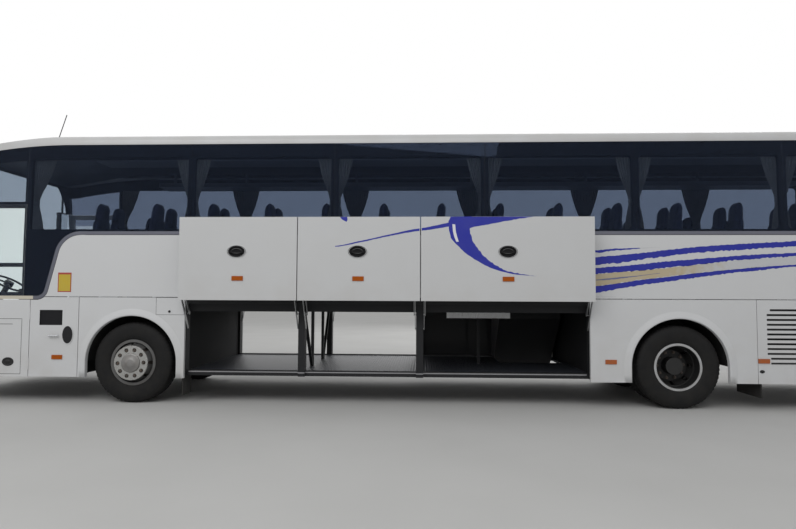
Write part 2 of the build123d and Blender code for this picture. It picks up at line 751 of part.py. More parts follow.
def lamp_boxes(end, sizes, margin):
    """Mirrored boxes over the lamps at one end of the coach, each grown by margin."""
    with BuildPart() as boxes:
        for _, side in SIDES:
            for near, far, low, high in sizes:
                box_between(
                    (end * REAR_X / 2, end * REACH),
                    sided(side, near - margin, far + margin),
                    (low - margin, high + margin),
                )
    return boxes.part


with BuildPart() as rear_panel:
    add(wall_shell)
    back = rectangle_xz((REAR_CORNER_X + PANE_GAP / 2, 2 * REAR_X), (0, WINDOW_TOP_Z - SEAT))
    extrude(back, amount=REACH, both=True, mode=Mode.INTERSECT)
    with BuildSketch(Plane.YZ.offset(REAR_CORNER_X - WALL)) as openings:
        with Locations((0, rear_window_z)):
            Rectangle(*rear_window_size)
        fillet(openings.vertices(), PANE_CORNER)
        with Locations((0, (ENGINE_LID_Z[0] + ENGINE_LID_Z[1]) / 2)):
            Rectangle(2 * (ENGINE_LID_HALF + SHUT_LINE), ENGINE_LID_Z[1] - ENGINE_LID_Z[0] + 2 * SHUT_LINE)
    extrude(amount=REAR_X, mode=Mode.SUBTRACT)
    add(lamp_pocket & lamp_boxes(1, TAIL_LAMPS, SEAT), mode=Mode.SUBTRACT)
    hinge_z = ENGINE_LID_Z[1] + SHUT_LINE / 2
    lid_end = ENGINE_LID_HALF + SHUT_LINE
    relief = HINGE_RADIUS + SPINDLE_CLEAR
    rod((ENGINE_HINGE_X, -lid_end, hinge_z), (ENGINE_HINGE_X, lid_end, hinge_z), relief, mode=Mode.SUBTRACT)
    hang(HINGES["engine_lid"], moving=False)
save(rear_panel, "rear_panel")

with BuildPart() as rear_window:
    add(glass_shell)
    with BuildSketch(Plane.YZ.offset(REAR_CORNER_X - WALL)) as pane:
        with Locations((0, rear_window_z)):
            Rectangle(rear_window_size[0] - 2 * SEAT, rear_window_size[1] - 2 * SEAT)
        fillet(pane.vertices(), PANE_CORNER - SEAT)
    extrude(amount=REAR_X, mode=Mode.INTERSECT)
save(rear_window, "rear_window")

# Engine lid, hinged along its top edge, with air slots
with BuildPart() as engine_lid:
    add(wall_shell)
    with BuildSketch(Plane.YZ.offset(REAR_CORNER_X - WALL)) as lid:
        with Locations((0, (ENGINE_LID_Z[0] + ENGINE_LID_Z[1]) / 2)):
            Rectangle(2 * ENGINE_LID_HALF, ENGINE_LID_Z[1] - ENGINE_LID_Z[0])
    extrude(amount=REAR_X, mode=Mode.INTERSECT)
    with BuildSketch(Plane.YZ.offset(REAR_CORNER_X)) as slots:
        with Locations([(0, ENGINE_LID_Z[1] - 200 - row * SLOT_PITCH) for row in range(6)]):
            Rectangle(ENGINE_LID_HALF, SLOT_HEIGHT)
    extrude(amount=REAR_X, mode=Mode.SUBTRACT)
    hang(HINGES["engine_lid"], moving=True)
save(engine_lid, "engine_lid")

# Lamps let into the nose and the rear corners
with BuildPart() as tail_lamps:
    add(lamp_shell)
    add(lamp_boxes(1, TAIL_LAMPS, 0), mode=Mode.INTERSECT)

with BuildPart() as head_lamps:
    add(lamp_shell)
    add(lamp_boxes(-1, HEAD_LAMPS, 0), mode=Mode.INTERSECT)

with BuildPart() as front_mask:
    add(wall_shell)
    nose = rectangle_xz((2 * FRONT_X, FRONT_CORNER_X - PANE_GAP / 2), (0, FRONT_RAKE_Z))
    extrude(nose, amount=REACH, both=True, mode=Mode.INTERSECT)
    add(lamp_pocket & lamp_boxes(-1, HEAD_LAMPS, SEAT), mode=Mode.SUBTRACT)
    with BuildSketch(Plane.YZ.offset(FRONT_X - WALL)) as grille:
        with Locations([(0, 480 + row * 60) for row in range(3)]):
            Rectangle(900, 28)
    extrude(amount=-FRONT_X / 4, mode=Mode.SUBTRACT)
    hang(HINGES["front_door"], moving=False)
save(front_mask, "front_mask")

# Luggage hold: floor between the sills and the bulkheads at both ends
floor_half = POST_Y[0] - SEAT
ceiling_z = FLOOR_Z - FLOOR
hold_x = (POSTS[0][0], POSTS[3][1])
stairwell_x = (MIDDLE_DOOR[0] - STAIR_WALL, MIDDLE_DOOR[1] + STAIR_WALL)
with BuildPart() as luggage_hold:
    box_between(hold_x, (-floor_half, floor_half), (HOLD_FLOOR_Z - HOLD_FLOOR, HOLD_FLOOR_Z))
    for wall_x in ((hold_x[0], hold_x[0] + BULKHEAD), (hold_x[1] - BULKHEAD, hold_x[1])):
        box_between(wall_x, (-floor_half, floor_half), (HOLD_FLOOR_Z - HOLD_FLOOR, ceiling_z - SEAT))
    well = (stairwell_x[0] - PANEL_GAP, stairwell_x[1] + PANEL_GAP)
    box_between(well, (STAIR_INNER_Y - PANEL_GAP - STAIR_WALL, REACH), (0, ceiling_z - WALL), mode=Mode.SUBTRACT)
    locker_y = (-PANEL_Y + SHUT_LINE, -LOCKER_INNER_Y)
    locker_z = (SILL_Z[0], ceiling_z - SEAT)
    box_between(LOCKER, locker_y, (locker_z[0], locker_z[0] + LOCKER_WALL))
    box_between(LOCKER, (locker_y[1] - LOCKER_WALL, locker_y[1]), locker_z)
    for wall_x in ((LOCKER[0], LOCKER[0] + LOCKER_WALL), (LOCKER[1] - LOCKER_WALL, LOCKER[1])):
        box_between(wall_x, locker_y, locker_z)
save(luggage_hold, "luggage_hold")

# Frame of the hold: posts with the bores of the door links, sills, lintels and the cross lattice
with BuildPart() as hold_frame:
    for side_name, side in SIDES:
        for post_x in POSTS:
            if side_name == "right" and post_x == POSTS[3]:
                continue
            box_between(post_x, sided(side, *POST_Y), (SILL_Z[0], ceiling_z - SEAT))
        for post_x, next_x in zip(POSTS[:-1], POSTS[1:]):
            last_x = next_x[0]
            if side_name == "right" and next_x == POSTS[3]:
                last_x = stairwell_x[0]
            span = (post_x[1] + SEAT, last_x - SEAT)
            box_between(span, sided(side, POST_Y[0], RAIL_OUTER_Y), SILL_Z)
            box_between(span, sided(side, POST_Y[0], RAIL_OUTER_Y), (LINTEL_Z, ceiling_z - SEAT))
        for number, open_from, open_to, *_ in BAYS:
            if number in BAYS_ON[side_name]:
                for pivot_z in (UPPER_PIVOT_Z, LOWER_PIVOT_Z):
                    for wall_x, into in ((open_from, -1), (open_to, 1)):
                        start = (wall_x, side * PIVOT_Y, pivot_z)
                        end = (wall_x + into * (PIN_DEPTH + 2), side * PIVOT_Y, pivot_z)
                        rod(start, end, PIN_RADIUS + PIN_CLEAR, mode=Mode.SUBTRACT)
    lattice_x = (POSTS[1][0] + POSTS[1][1]) / 2
    half_tube = LATTICE_TUBE / 2
    low_z = HOLD_FLOOR_Z + SEAT
    high_z = ceiling_z - SEAT
    for _, side in SIDES:
        box_between(
            (lattice_x - half_tube, lattice_x + half_tube),
            sided(side, LATTICE_Y - half_tube, LATTICE_Y + half_tube),
            (low_z, high_z),
        )
        with BuildSketch(Plane.YZ.offset(lattice_x - half_tube)) as brace:
            with BuildLine():
                foot_y = LATTICE_Y + half_tube + SEAT
                head_y = POST_Y[0] - SEAT
                Polyline(
                    (side * foot_y, low_z),
                    (side * (foot_y + LATTICE_TUBE), low_z),
                    (side * head_y, high_z - LATTICE_TUBE),
                    (side * head_y, high_z),
                    (side * foot_y, low_z),
                )
            make_face()
        extrude(amount=LATTICE_TUBE)
    box_between(HOLD_LAMP_X, (-LATTICE_TUBE, LATTICE_TUBE), (HOLD_LAMP_Z[1] + SEAT, ceiling_z - SEAT))
    post_y = (LATTICE_TUBE + SEAT, 2 * LATTICE_TUBE)
    box_between((HOLD_POST_X, HOLD_POST_X + LATTICE_TUBE), post_y, (low_z, high_z))

# Saloon floor over the hold, notched over the open bays and round the middle stairs
with BuildPart() as saloon_floor:
    box_between((FLOOR_FRONT_X, FLOOR_REAR_X), (-PANEL_Y + SEAT, PANEL_Y - SEAT), (ceiling_z, FLOOR_Z))
    for side_name, side in SIDES:
        last_bay = BAYS[BAYS_ON[side_name][-1] - 1]
        notch = (BAYS[0][3] - SHUT_LINE, last_bay[4] + SHUT_LINE)
        box_between(notch, sided(side, POST_Y[1], REACH), (0, REACH), mode=Mode.SUBTRACT)
    box_between(stairwell_x, (STAIR_INNER_Y, REACH), (0, REACH), mode=Mode.SUBTRACT)

# Cab floor with the front stairs on the right and one step up to the saloon
with BuildPart() as cab_floor:
    cab_bottom = RAIL_Z[1] + SEAT
    add(inside)
    box_between((FRONT_X, FLOOR_FRONT_X - SEAT), (-REACH, REACH), (cab_bottom, CAB_FLOOR_Z), mode=Mode.INTERSECT)
    stair_x = (FRONT_DOOR[0] + SHUT_LINE, FRONT_DOOR[1] - SHUT_LINE)
    box_between(stair_x, (FRONT_STAIR_Y, REACH), (0, REACH), mode=Mode.SUBTRACT)
    tread_z = (DOORWAY_Z + CAB_FLOOR_Z) / 2
    tread_y = (FRONT_STAIR_Y + PANEL_Y) / 2
    with BuildSketch(Plane.YZ.offset(stair_x[0])) as stairs:
        with BuildLine():
            Polyline(
                (PANEL_Y - SHUT_LINE, DOORWAY_Z - STAIR_WALL),
                (PANEL_Y - SHUT_LINE, DOORWAY_Z),
                (tread_y, DOORWAY_Z),
                (tread_y, tread_z),
                (FRONT_STAIR_Y, tread_z),
                (FRONT_STAIR_Y, tread_z - STAIR_WALL),
                (tread_y - STAIR_WALL, tread_z - STAIR_WALL),
                (tread_y - STAIR_WALL, DOORWAY_Z - STAIR_WALL),
                (PANEL_Y - SHUT_LINE, DOORWAY_Z - STAIR_WALL),
            )
        make_face()
    extrude(amount=stair_x[1] - stair_x[0])
    box_between(stair_x, (FRONT_STAIR_Y - STAIR_WALL, FRONT_STAIR_Y), (tread_z - STAIR_WALL, CAB_FLOOR_Z))
    step_x = (FLOOR_FRONT_X - CAB_STEP_DEPTH, FLOOR_FRONT_X - SEAT)
    box_between(step_x, (-CAB_STEP_HALF, CAB_STEP_HALF), (CAB_FLOOR_Z, (CAB_FLOOR_Z + FLOOR_Z) / 2))

# Middle stairwell: treads on a sloping soffit between two walls
with BuildPart() as middle_stairs:
    outer_y = PANEL_Y - SHUT_LINE
    run = (outer_y - STAIR_INNER_Y) / STEP_COUNT
    rise = (FLOOR_Z - DOORWAY_Z) / STEP_COUNT
    points = [(outer_y, DOORWAY_Z)]
    for step in range(1, STEP_COUNT):
        points.append((outer_y - step * run, DOORWAY_Z + (step - 1) * rise))
        points.append((outer_y - step * run, DOORWAY_Z + step * rise))
    points.append((STAIR_INNER_Y, DOORWAY_Z + (STEP_COUNT - 1) * rise))
    points.append((STAIR_INNER_Y, ceiling_z - SEAT))
    points.append((STAIR_INNER_Y - STAIR_WALL, ceiling_z - SEAT))
    points.append((STAIR_INNER_Y - STAIR_WALL, DOORWAY_Z + (STEP_COUNT - 1) * rise - STAIR_WALL))
    points.append((outer_y - run, DOORWAY_Z - STAIR_WALL))
    points.append((outer_y, DOORWAY_Z - STAIR_WALL))
    with BuildSketch(Plane.YZ.offset(stairwell_x[0])) as flight:
        with BuildLine():
            Polyline(*points, close=True)
        make_face()
    extrude(amount=stairwell_x[1] - stairwell_x[0])
    with BuildSketch(Plane.YZ.offset(stairwell_x[0])) as cheek:
        with BuildLine():
            Polyline(*points[-5:], (outer_y, ceiling_z - SEAT), close=True)
        make_face()
    extrude(amount=STAIR_WALL)
    with BuildSketch(Plane.YZ.offset(stairwell_x[1] - STAIR_WALL)) as far_cheek:
        add(cheek.sketch_local)
    extrude(amount=STAIR_WALL)

with BuildPart() as floors:
    add(saloon_floor.part)
    add(cab_floor.part)
    add(middle_stairs.part)
save(floors, "floors")

# Wheel arch liners: half-round shells closed on the inner side
with BuildPart() as arch_liners:
    for axle_x in (FRONT_AXLE_X, REAR_AXLE_X):
        for _, side in SIDES:
            axis_z = ARCH_Z
            with BuildSketch(Plane.XZ.offset(-side * LINER_INNER_Y)) as shell:
                with Locations((axle_x, axis_z)):
                    Circle(LINER_RADIUS + LINER)
                    Circle(LINER_RADIUS, mode=Mode.SUBTRACT)
                with Locations((axle_x, axis_z - LENGTH / 2)):
                    Rectangle(LENGTH, LENGTH, mode=Mode.SUBTRACT)
            extrude(amount=-side * (PANEL_Y - SEAT - LINER_INNER_Y))
            with BuildSketch(Plane.XZ.offset(-side * LINER_INNER_Y)) as back:
                with Locations((axle_x, axis_z)):
                    Circle(LINER_RADIUS + LINER)
                with Locations((axle_x, RAIL_Z[0] - LENGTH / 2)):
                    Rectangle(LENGTH, LENGTH, mode=Mode.SUBTRACT)
            extrude(amount=-side * LINER)
save(arch_liners, "arch_liners")

# Body rails behind the side panels: at the foot of the waist panels and behind the belt mouldings
with BuildPart() as body_rails:
    for side_name, side in SIDES:
        spans = [(FRONT_RAIL_X, FLOOR_REAR_X)]
        if side_name == "right":
            spans = [(FRONT_RAIL_X, stairwell_x[0]), (stairwell_x[1], FLOOR_REAR_X)]
        rail_y = sided(side, PANEL_Y - SEAT - WALL, PANEL_Y - SEAT)
        for span in spans:
            for rail_z in (FOOT_RAIL_Z, BELT_RAIL_Z):
                box_between(span, rail_y, rail_z)
        for stud_x in STUD_XS:
            if side_name == "left" or not stairwell_x[0] < stud_x < stairwell_x[1]:
                stud = (stud_x - WALL / 2, stud_x + WALL / 2)
                box_between(stud, rail_y, (FLOOR_Z + SEAT, FOOT_RAIL_Z[0] - SEAT))
                box_between(stud, rail_y, (FOOT_RAIL_Z[1] + SEAT, BELT_RAIL_Z[0] - SEAT))

with BuildPart() as body_frame:
    add(window_frames.part)
    add(hold_frame.part)
    add(body_rails.part)
save(body_frame, "body_frame")

# Underframe: rails and cross members ahead of and behind the hold, with a towing eye at each end
with BuildPart() as underframe:
    for rail_x, members in (
        ((FRONT_RAIL_END_X, hold_x[0] - SEAT), FRONT_MEMBERS),
        ((hold_x[1] + SEAT, REAR_RAIL_END_X), REAR_MEMBERS),
    ):
        for _, side in SIDES:
            box_between(rail_x, sided(side, *RAIL_Y), RAIL_Z)
            if rail_x[0] > 0:
                box_between(FLAP_HANGER_X, sided(side, RAIL_Y[1], REAR_FLAP_Y[1]), FLAP_HANGER_Z)
        for member_x in members:
            inner = RAIL_Y[0] - SEAT
            box_between((member_x - 45, member_x + 45), (-inner, inner), (RAIL_Z[0] + 15, RAIL_Z[1] - 15))
    for end_x, towards in ((FRONT_RAIL_END_X, -1), (REAR_RAIL_END_X, 1)):
        for _, side in SIDES:
            rail_middle = (RAIL_Y[0] + RAIL_Y[1]) / 2
            tow_z = RAIL_Z[0] + TOW_PLATE_DROP
            with BuildSketch(Plane.XY.offset(tow_z - TOW_PLATE / 2)) as eye:
                with Locations((end_x + towards * TOW_REACH, side * rail_middle)):
                    Circle(TOW_EYE_RADIUS + TOW_EYE_WALL)
                with Locations((end_x + towards * TOW_REACH / 2, side * rail_middle)):
                    Rectangle(TOW_REACH, 2 * (TOW_EYE_RADIUS + TOW_EYE_WALL))
                with Locations((end_x + towards * TOW_REACH, side * rail_middle)):
                    Circle(TOW_EYE_RADIUS, mode=Mode.SUBTRACT)
            extrude(amount=TOW_PLATE)
save(underframe, "underframe")

# Engine, one plain block at its place between the rear rails
with BuildPart() as engine:
    box_between(ENGINE_X, (-RAIL_Y[0] + SEAT, RAIL_Y[0] - SEAT), ENGINE_Z)
save(engine, "engine")

# Luggage doors, raised on their links: a sheet inside a deep border, lugs, a pull handle and a marker
def link_layers(open_from, open_to):
    """X of the lower link, upper link and lug, counted inwards from each side wall of the bay."""
    layers = []
    for wall_x, into in ((open_from, 1), (open_to, -1)):
        layers.append((wall_x, into, [wall_x + into * (PANEL_GAP + LINK_THICK / 2 + n * LINK_PITCH) for n in range(3)]))
    return layers


def flat_link(x, start, end):
    """Flat bar with round ends between two pivots (Y, Z) in an upright plane at x."""
    along = Vector(end[0] - start[0], end[1] - start[1])
    middle = ((start[0] + end[0]) / 2, (start[1] + end[1]) / 2)
    with BuildSketch(Plane.YZ.offset(x - LINK_THICK / 2), mode=Mode.PRIVATE) as bar:
        with Locations(Location(middle, degrees(atan2(along.Y, along.X)))):
            SlotCenterToCenter(along.length, LINK_WIDTH)
    extrude(bar.sketch, amount=LINK_THICK)


lift_y = LINK_LENGTH * sin(DOOR_SWING)
lift_z = -LINK_LENGTH * cos(DOOR_SWING)
for side_name, side in SIDES:
    for number, open_from, open_to, door_from, door_to, handle_x, marker_x in BAYS:
        if number not in BAYS_ON[side_name]:
            continue
        label = f"{side_name}_{number}"
        layers = link_layers(open_from, open_to)
        pins = {
            "upper": ((side * PIVOT_Y, UPPER_PIVOT_Z), (side * (PIVOT_Y + lift_y), UPPER_PIVOT_Z + lift_z), 1),
            "lower": ((side * PIVOT_Y, LOWER_PIVOT_Z), (side * (PIVOT_Y + lift_y), LOWER_PIVOT_Z + lift_z), 0),
        }
        with BuildPart() as luggage_door:
            inner_y = RAISED_Y - WALL
            box_between((door_from, door_to), sided(side, inner_y, RAISED_Y), (RAISED_BOTTOM_Z, RAISED_TOP_Z))
            box_between(
                (door_from + DOOR_BORDER, door_to - DOOR_BORDER),
                sided(side, inner_y - WALL, RAISED_Y - DOOR_SHEET),
                (RAISED_BOTTOM_Z + DOOR_BORDER, RAISED_TOP_Z - DOOR_BORDER),
                mode=Mode.SUBTRACT,
            )
            for _, into, xs in layers:
                for _, door_pin, _ in pins.values():
                    with BuildSketch(Plane.YZ.offset(xs[2] - LINK_THICK / 2), mode=Mode.PRIVATE) as lug:
                        with Locations(door_pin):
                            Circle(LUG_RADIUS)
                        with Locations(((door_pin[0] + side * (RAISED_Y - DOOR_SHEET)) / 2, door_pin[1])):
                            Rectangle(RAISED_Y - DOOR_SHEET - abs(door_pin[0]), 2 * LUG_RADIUS)
                    extrude(lug.sketch, amount=LINK_THICK, mode=Mode.ADD)
                    start = (xs[2] - LINK_THICK, *door_pin)
                    rod(start, (xs[2] + LINK_THICK, *door_pin), PIN_RADIUS + PIN_CLEAR, mode=Mode.SUBTRACT)
            face = Plane.XZ.offset(-side * RAISED_Y)
            with BuildSketch(face) as handle:
                with Locations((handle_x, RAISED_BOTTOM_Z + HANDLE_ABOVE_BOTTOM)):
                    Ellipse(HANDLE_LENGTH / 2, HANDLE_HEIGHT / 2)
            extrude(amount=-side * HANDLE_PROUD)
            with BuildSketch(face.offset(-side * HANDLE_PROUD)) as grip:
                with Locations((handle_x, RAISED_BOTTOM_Z + HANDLE_ABOVE_BOTTOM)):
                    Ellipse(HANDLE_LENGTH / 2 - 25, HANDLE_HEIGHT / 2 - 25)
                    Rectangle(HANDLE_LENGTH - 40, 34, mode=Mode.SUBTRACT)
            extrude(amount=side * (HANDLE_PROUD + 10), mode=Mode.SUBTRACT)
            with BuildSketch(face) as marker:
                with Locations((marker_x, RAISED_BOTTOM_Z + MARKER_ABOVE_BOTTOM)):
                    Rectangle(MARKER_LENGTH, MARKER_HEIGHT)
            extrude(amount=-side * MARKER_PROUD)
        save(luggage_door, f"luggage_door_{label}")
        for link_name, (fixed_pin, door_pin, layer) in pins.items():
            with BuildPart() as links:
                for wall_x, into, xs in layers:
                    flat_link(xs[layer], fixed_pin, door_pin)
                    rod((wall_x - into * PIN_DEPTH, *fixed_pin), (xs[layer], *fixed_pin), PIN_RADIUS)
                    rod((xs[layer], *door_pin), (xs[2] + into * LINK_THICK, *door_pin), PIN_RADIUS)
            save(links, f"{link_name}_links_{label}")


# Passenger doors on the right: walls with a window, and the pane bonded into it
for label, door_x, door_z in (
    ("front_door", FRONT_DOOR, (DOORWAY_Z, FRONT_DOOR_TOP_Z)),
    ("middle_door", MIDDLE_DOOR, (DOORWAY_Z, WAIST_Z - SHUT_LINE)),
):
    window_x = (door_x[0] + DOOR_FRAME, door_x[1] - DOOR_FRAME)
    window_z = (DRIVER_PANE_Z, door_z[1] - DOOR_FRAME)
    with BuildPart() as door:
        add(wall_shell)
        extrude(rectangle_xz(door_x, door_z), amount=-REACH, mode=Mode.INTERSECT)
        extrude(rectangle_xz(window_x, window_z), amount=-REACH, mode=Mode.SUBTRACT)
        hang(HINGES[label], moving=True)
    save(door, label)
    with BuildPart() as door_window:
        add(glass_shell)
        pane_x = (window_x[0] + SEAT, window_x[1] - SEAT)
        pane_z = (window_z[0] + SEAT, window_z[1] - SEAT)
        extrude(rectangle_xz(pane_x, pane_z), amount=-REACH, mode=Mode.INTERSECT)
    save(door_window, f"{label}_window")

# Locker door under the driver's window: vent recess, bow handle, oval lock and marker
with BuildPart() as locker_door:
    add(wall_shell)
    extrude(below_belt(-SHUT_LINE), amount=REACH, mode=Mode.INTERSECT)
    extrude(rectangle_xz(LOCKER, (LOCKER_BOTTOM_Z, SEAM_Z)), amount=REACH, mode=Mode.INTERSECT)
    box_between(LOCKER_VENT_X, (-HALF_WIDTH, -HALF_WIDTH + LOCKER_VENT_DEPTH), LOCKER_VENT_Z, mode=Mode.SUBTRACT)
    with BuildSketch(Plane.XZ.offset(HALF_WIDTH), mode=Mode.PRIVATE) as lock:
        with Locations(LOCKER_LOCK):
            Ellipse(LOCK_SIZE[0] / 2, LOCK_SIZE[1] / 2)
    extrude(lock.sketch, amount=HANDLE_PROUD, mode=Mode.ADD)
    grip_from, grip_to = LOCKER_HANDLE_X
    for leg_x in (grip_from + 2 * GRIP_RADIUS, grip_to - 2 * GRIP_RADIUS):
        leg_foot = (leg_x, -HALF_WIDTH + HANDLE_PROUD, LOCKER_HANDLE_Z)
        rod(leg_foot, (leg_x, -LOCKER_GRIP_Y, LOCKER_HANDLE_Z), GRIP_RADIUS / 2)
    rod((grip_from, -LOCKER_GRIP_Y, LOCKER_HANDLE_Z), (grip_to, -LOCKER_GRIP_Y, LOCKER_HANDLE_Z), GRIP_RADIUS)
    marker_x = (LOCKER_MARKER[0] - MARKER_LENGTH / 2, LOCKER_MARKER[0] + MARKER_LENGTH / 2)
    marker_z = (LOCKER_MARKER[1] - MARKER_HEIGHT / 2, LOCKER_MARKER[1] + MARKER_HEIGHT / 2)
    box_between(marker_x, (-HALF_WIDTH - MARKER_PROUD, -HALF_WIDTH + HANDLE_PROUD), marker_z)
    hang(HINGES["locker_door"], moving=True)
save(locker_door, "locker_door")

# Lamps: head and tail lamps let into the skin, markers on the sides and the strip in the hold
with BuildPart() as lamps:
    add(head_lamps.part)
    add(tail_lamps.part)
    box_between(HOLD_LAMP_X, (-LATTICE_TUBE / 2, LATTICE_TUBE / 2), HOLD_LAMP_Z)
    for _, side in SIDES:
        for marker_x, marker_z in SIDE_MARKERS:
            box_between(
                (marker_x - MARKER_LENGTH / 2, marker_x + MARKER_LENGTH / 2),
                sided(side, HALF_WIDTH + SEAT, HALF_WIDTH + MARKER_PROUD),
                (marker_z - MARKER_HEIGHT / 2, marker_z + MARKER_HEIGHT / 2),
            )
save(lamps, "lamps")


def turned(axle_x, points, mode=Mode.ADD):
    """Ring turned round an axle from a section of straight lines, each point a Y and a radius."""
    with BuildSketch(axle_plane(axle_x), mode=Mode.PRIVATE) as section:
        with BuildLine():
            Polyline(*points, close=True)
        make_face()
    revolve(section.sketch, axis=Axis((axle_x, 0, WHEEL_Z), (0, 1, 0)), mode=mode)


def axle_plane(axle_x):
    """Upright plane through an axle, with its origin on the wheels' axis and Y across."""
    return Plane(origin=(axle_x, 0, WHEEL_Z), x_dir=(0, 1, 0), z_dir=(1, 0, 0))


def tyre(axle_x, centre_y):
    """Tyre with bulged side walls and a flat tread, seated on its rim."""
    half_bead = RIM_WIDTH / 2 - RIM_FLANGE - FLANGE_CLEAR
    half_tread = TREAD_WIDTH / 2
    shoulder = (half_tread + TREAD_EDGE, TYRE_RADIUS - SHOULDER_DROP)
    with BuildSketch(axle_plane(axle_x), mode=Mode.PRIVATE) as section:
        with BuildLine():
            for way in (-1, 1):
                bead = (centre_y + way * half_bead, BEAD_RADIUS + SEAT)
                bead_top = (bead[0], RIM_RADIUS + 2)
                bulge = (centre_y + way * TYRE_WIDTH / 2, WALL_BULGE_RADIUS)
                edge = (centre_y + way * shoulder[0], shoulder[1])
                Line(bead, bead_top)
                ThreePointArc(bead_top, bulge, edge)
                Line(edge, (centre_y + way * half_tread, TYRE_RADIUS))
            Line((centre_y - half_tread, TYRE_RADIUS), (centre_y + half_tread, TYRE_RADIUS))
            Line((centre_y - half_bead, BEAD_RADIUS + SEAT), (centre_y + half_bead, BEAD_RADIUS + SEAT))
        make_face()
    revolve(section.sketch, axis=Axis((axle_x, 0, WHEEL_Z), (0, 1, 0)))


# Wheels and tyres: one of each at the front, twins on one hub at the rear
for side_name, side in SIDES:
    for axle_name, axle_x, wheels, hub_y, bore_y in (
        ("front", FRONT_AXLE_X, ((TYRE_CENTRE_Y, 1),), FRONT_HUB_Y, FRONT_SPINDLE_Y),
        ("rear", REAR_AXLE_X, ((TYRE_CENTRE_Y, -1), (TYRE_CENTRE_Y - TWIN_PITCH, 1)), REAR_HUB_Y, REAR_SPINDLE_Y),
    ):
        with BuildPart() as tyres:
            for centre_y, _ in wheels:
                tyre(axle_x, side * centre_y)
        save(tyres, f"tyre_{axle_name}_{side_name}")
        with BuildPart() as wheel:
            for centre_y, facing in wheels:
                half = RIM_WIDTH / 2
                seat = half - RIM_FLANGE
                rim_section = (
                    (-half, BARREL_RADIUS),
                    (half, BARREL_RADIUS),
                    (half, RIM_RADIUS),
                    (seat, RIM_RADIUS),
                    (seat, BEAD_RADIUS),
                    (-seat, BEAD_RADIUS),
                    (-seat, RIM_RADIUS),
                    (-half, RIM_RADIUS),
                )
                turned(axle_x, [(side * centre_y + out, radius) for out, radius in rim_section])
                turned(axle_x, [(side * (centre_y + facing * out), radius) for out, radius in DISC_SECTION])
                for hole in range(HAND_HOLE_COUNT):
                    angle = radians(360 / HAND_HOLE_COUNT * hole)
                    hole_x = axle_x + HAND_HOLE_CIRCLE * cos(angle)
                    hole_z = WHEEL_Z + HAND_HOLE_CIRCLE * sin(angle)
                    start = (hole_x, side * (centre_y + facing * DISC_SECTION[1][0] / 2), hole_z)
                    end = (hole_x, side * (centre_y + facing * TWIN_PITCH / 2), hole_z)
                    rod(start, end, HAND_HOLE_RADIUS, mode=Mode.SUBTRACT)
            rod((axle_x, side * hub_y[0], WHEEL_Z), (axle_x, side * hub_y[1], WHEEL_Z), HUB_RADIUS)
            start = (axle_x, side * (hub_y[0] - 1), WHEEL_Z)
            end = (axle_x, side * (bore_y + 2), WHEEL_Z)
            rod(start, end, SPINDLE_RADIUS + SPINDLE_CLEAR, mode=Mode.SUBTRACT)
        save(wheel, f"wheel_{axle_name}_{side_name}")

# Steering knuckles: forked round the beam's eye, with kingpin, spindle, arm and ball stud
for side_name, side in SIDES:
    pin_y = side * KINGPIN_Y
    web_y = sided(side, KINGPIN_Y + KNUCKLE_WEB_Y[0], KINGPIN_Y + KNUCKLE_WEB_Y[1])
    web_x = (FRONT_AXLE_X - LUG_HALF, FRONT_AXLE_X + LUG_HALF)
    arm_z = (FORK_Z[0], FORK_Z[0] + STEER_ARM_THICK)
    stud_x = FRONT_AXLE_X + STEER_ARM
    with BuildPart() as knuckle:
        for low, high in (FORK_Z[0:2], FORK_Z[4:6]):
            rod((FRONT_AXLE_X, pin_y, low), (FRONT_AXLE_X, pin_y, high), LUG_HALF)
            box_between(web_x, (pin_y, web_y[0]), (low, high))
        box_between(web_x, web_y, (FORK_Z[0], FORK_Z[5]))
        rod((FRONT_AXLE_X, pin_y, FORK_Z[0]), (FRONT_AXLE_X, pin_y, FORK_Z[5]), KINGPIN_RADIUS)
        rod((FRONT_AXLE_X, web_y[0], WHEEL_Z), (FRONT_AXLE_X, side * FRONT_SPINDLE_Y, WHEEL_Z), SPINDLE_RADIUS)
        arm_y = (pin_y - STEER_ARM_HALF, pin_y + STEER_ARM_HALF)
        box_between((FRONT_AXLE_X, stud_x), arm_y, arm_z)
        rod((stud_x, pin_y, arm_z[0]), (stud_x, pin_y, arm_z[1]), TIE_EYE_RADIUS)
        rod((stud_x, pin_y, arm_z[0]), (stud_x, pin_y, TIE_ROD_Z[0]), BALL_STUD_RADIUS)
    save(knuckle, f"knuckle_{side_name}")

# Tie rod between the two steering arms
with BuildPart() as tie_rod:
    stud_x = FRONT_AXLE_X + STEER_ARM
    rod_z = (TIE_ROD_Z[0] + TIE_ROD_Z[1]) / 2
    rod((stud_x, -KINGPIN_Y, rod_z), (stud_x, KINGPIN_Y, rod_z), TIE_ROD_RADIUS - 2)
    for _, side in SIDES:
        eye = (stud_x, side * KINGPIN_Y)
        rod((*eye, TIE_ROD_Z[0]), (*eye, TIE_ROD_Z[1] - PIN_CLEAR), TIE_EYE_RADIUS)
        rod((*eye, TIE_ROD_Z[0] - 1), (*eye, TIE_ROD_Z[1] + 1), BALL_STUD_RADIUS + SPINDLE_CLEAR, mode=Mode.SUBTRACT)
save(tie_rod, "tie_rod")

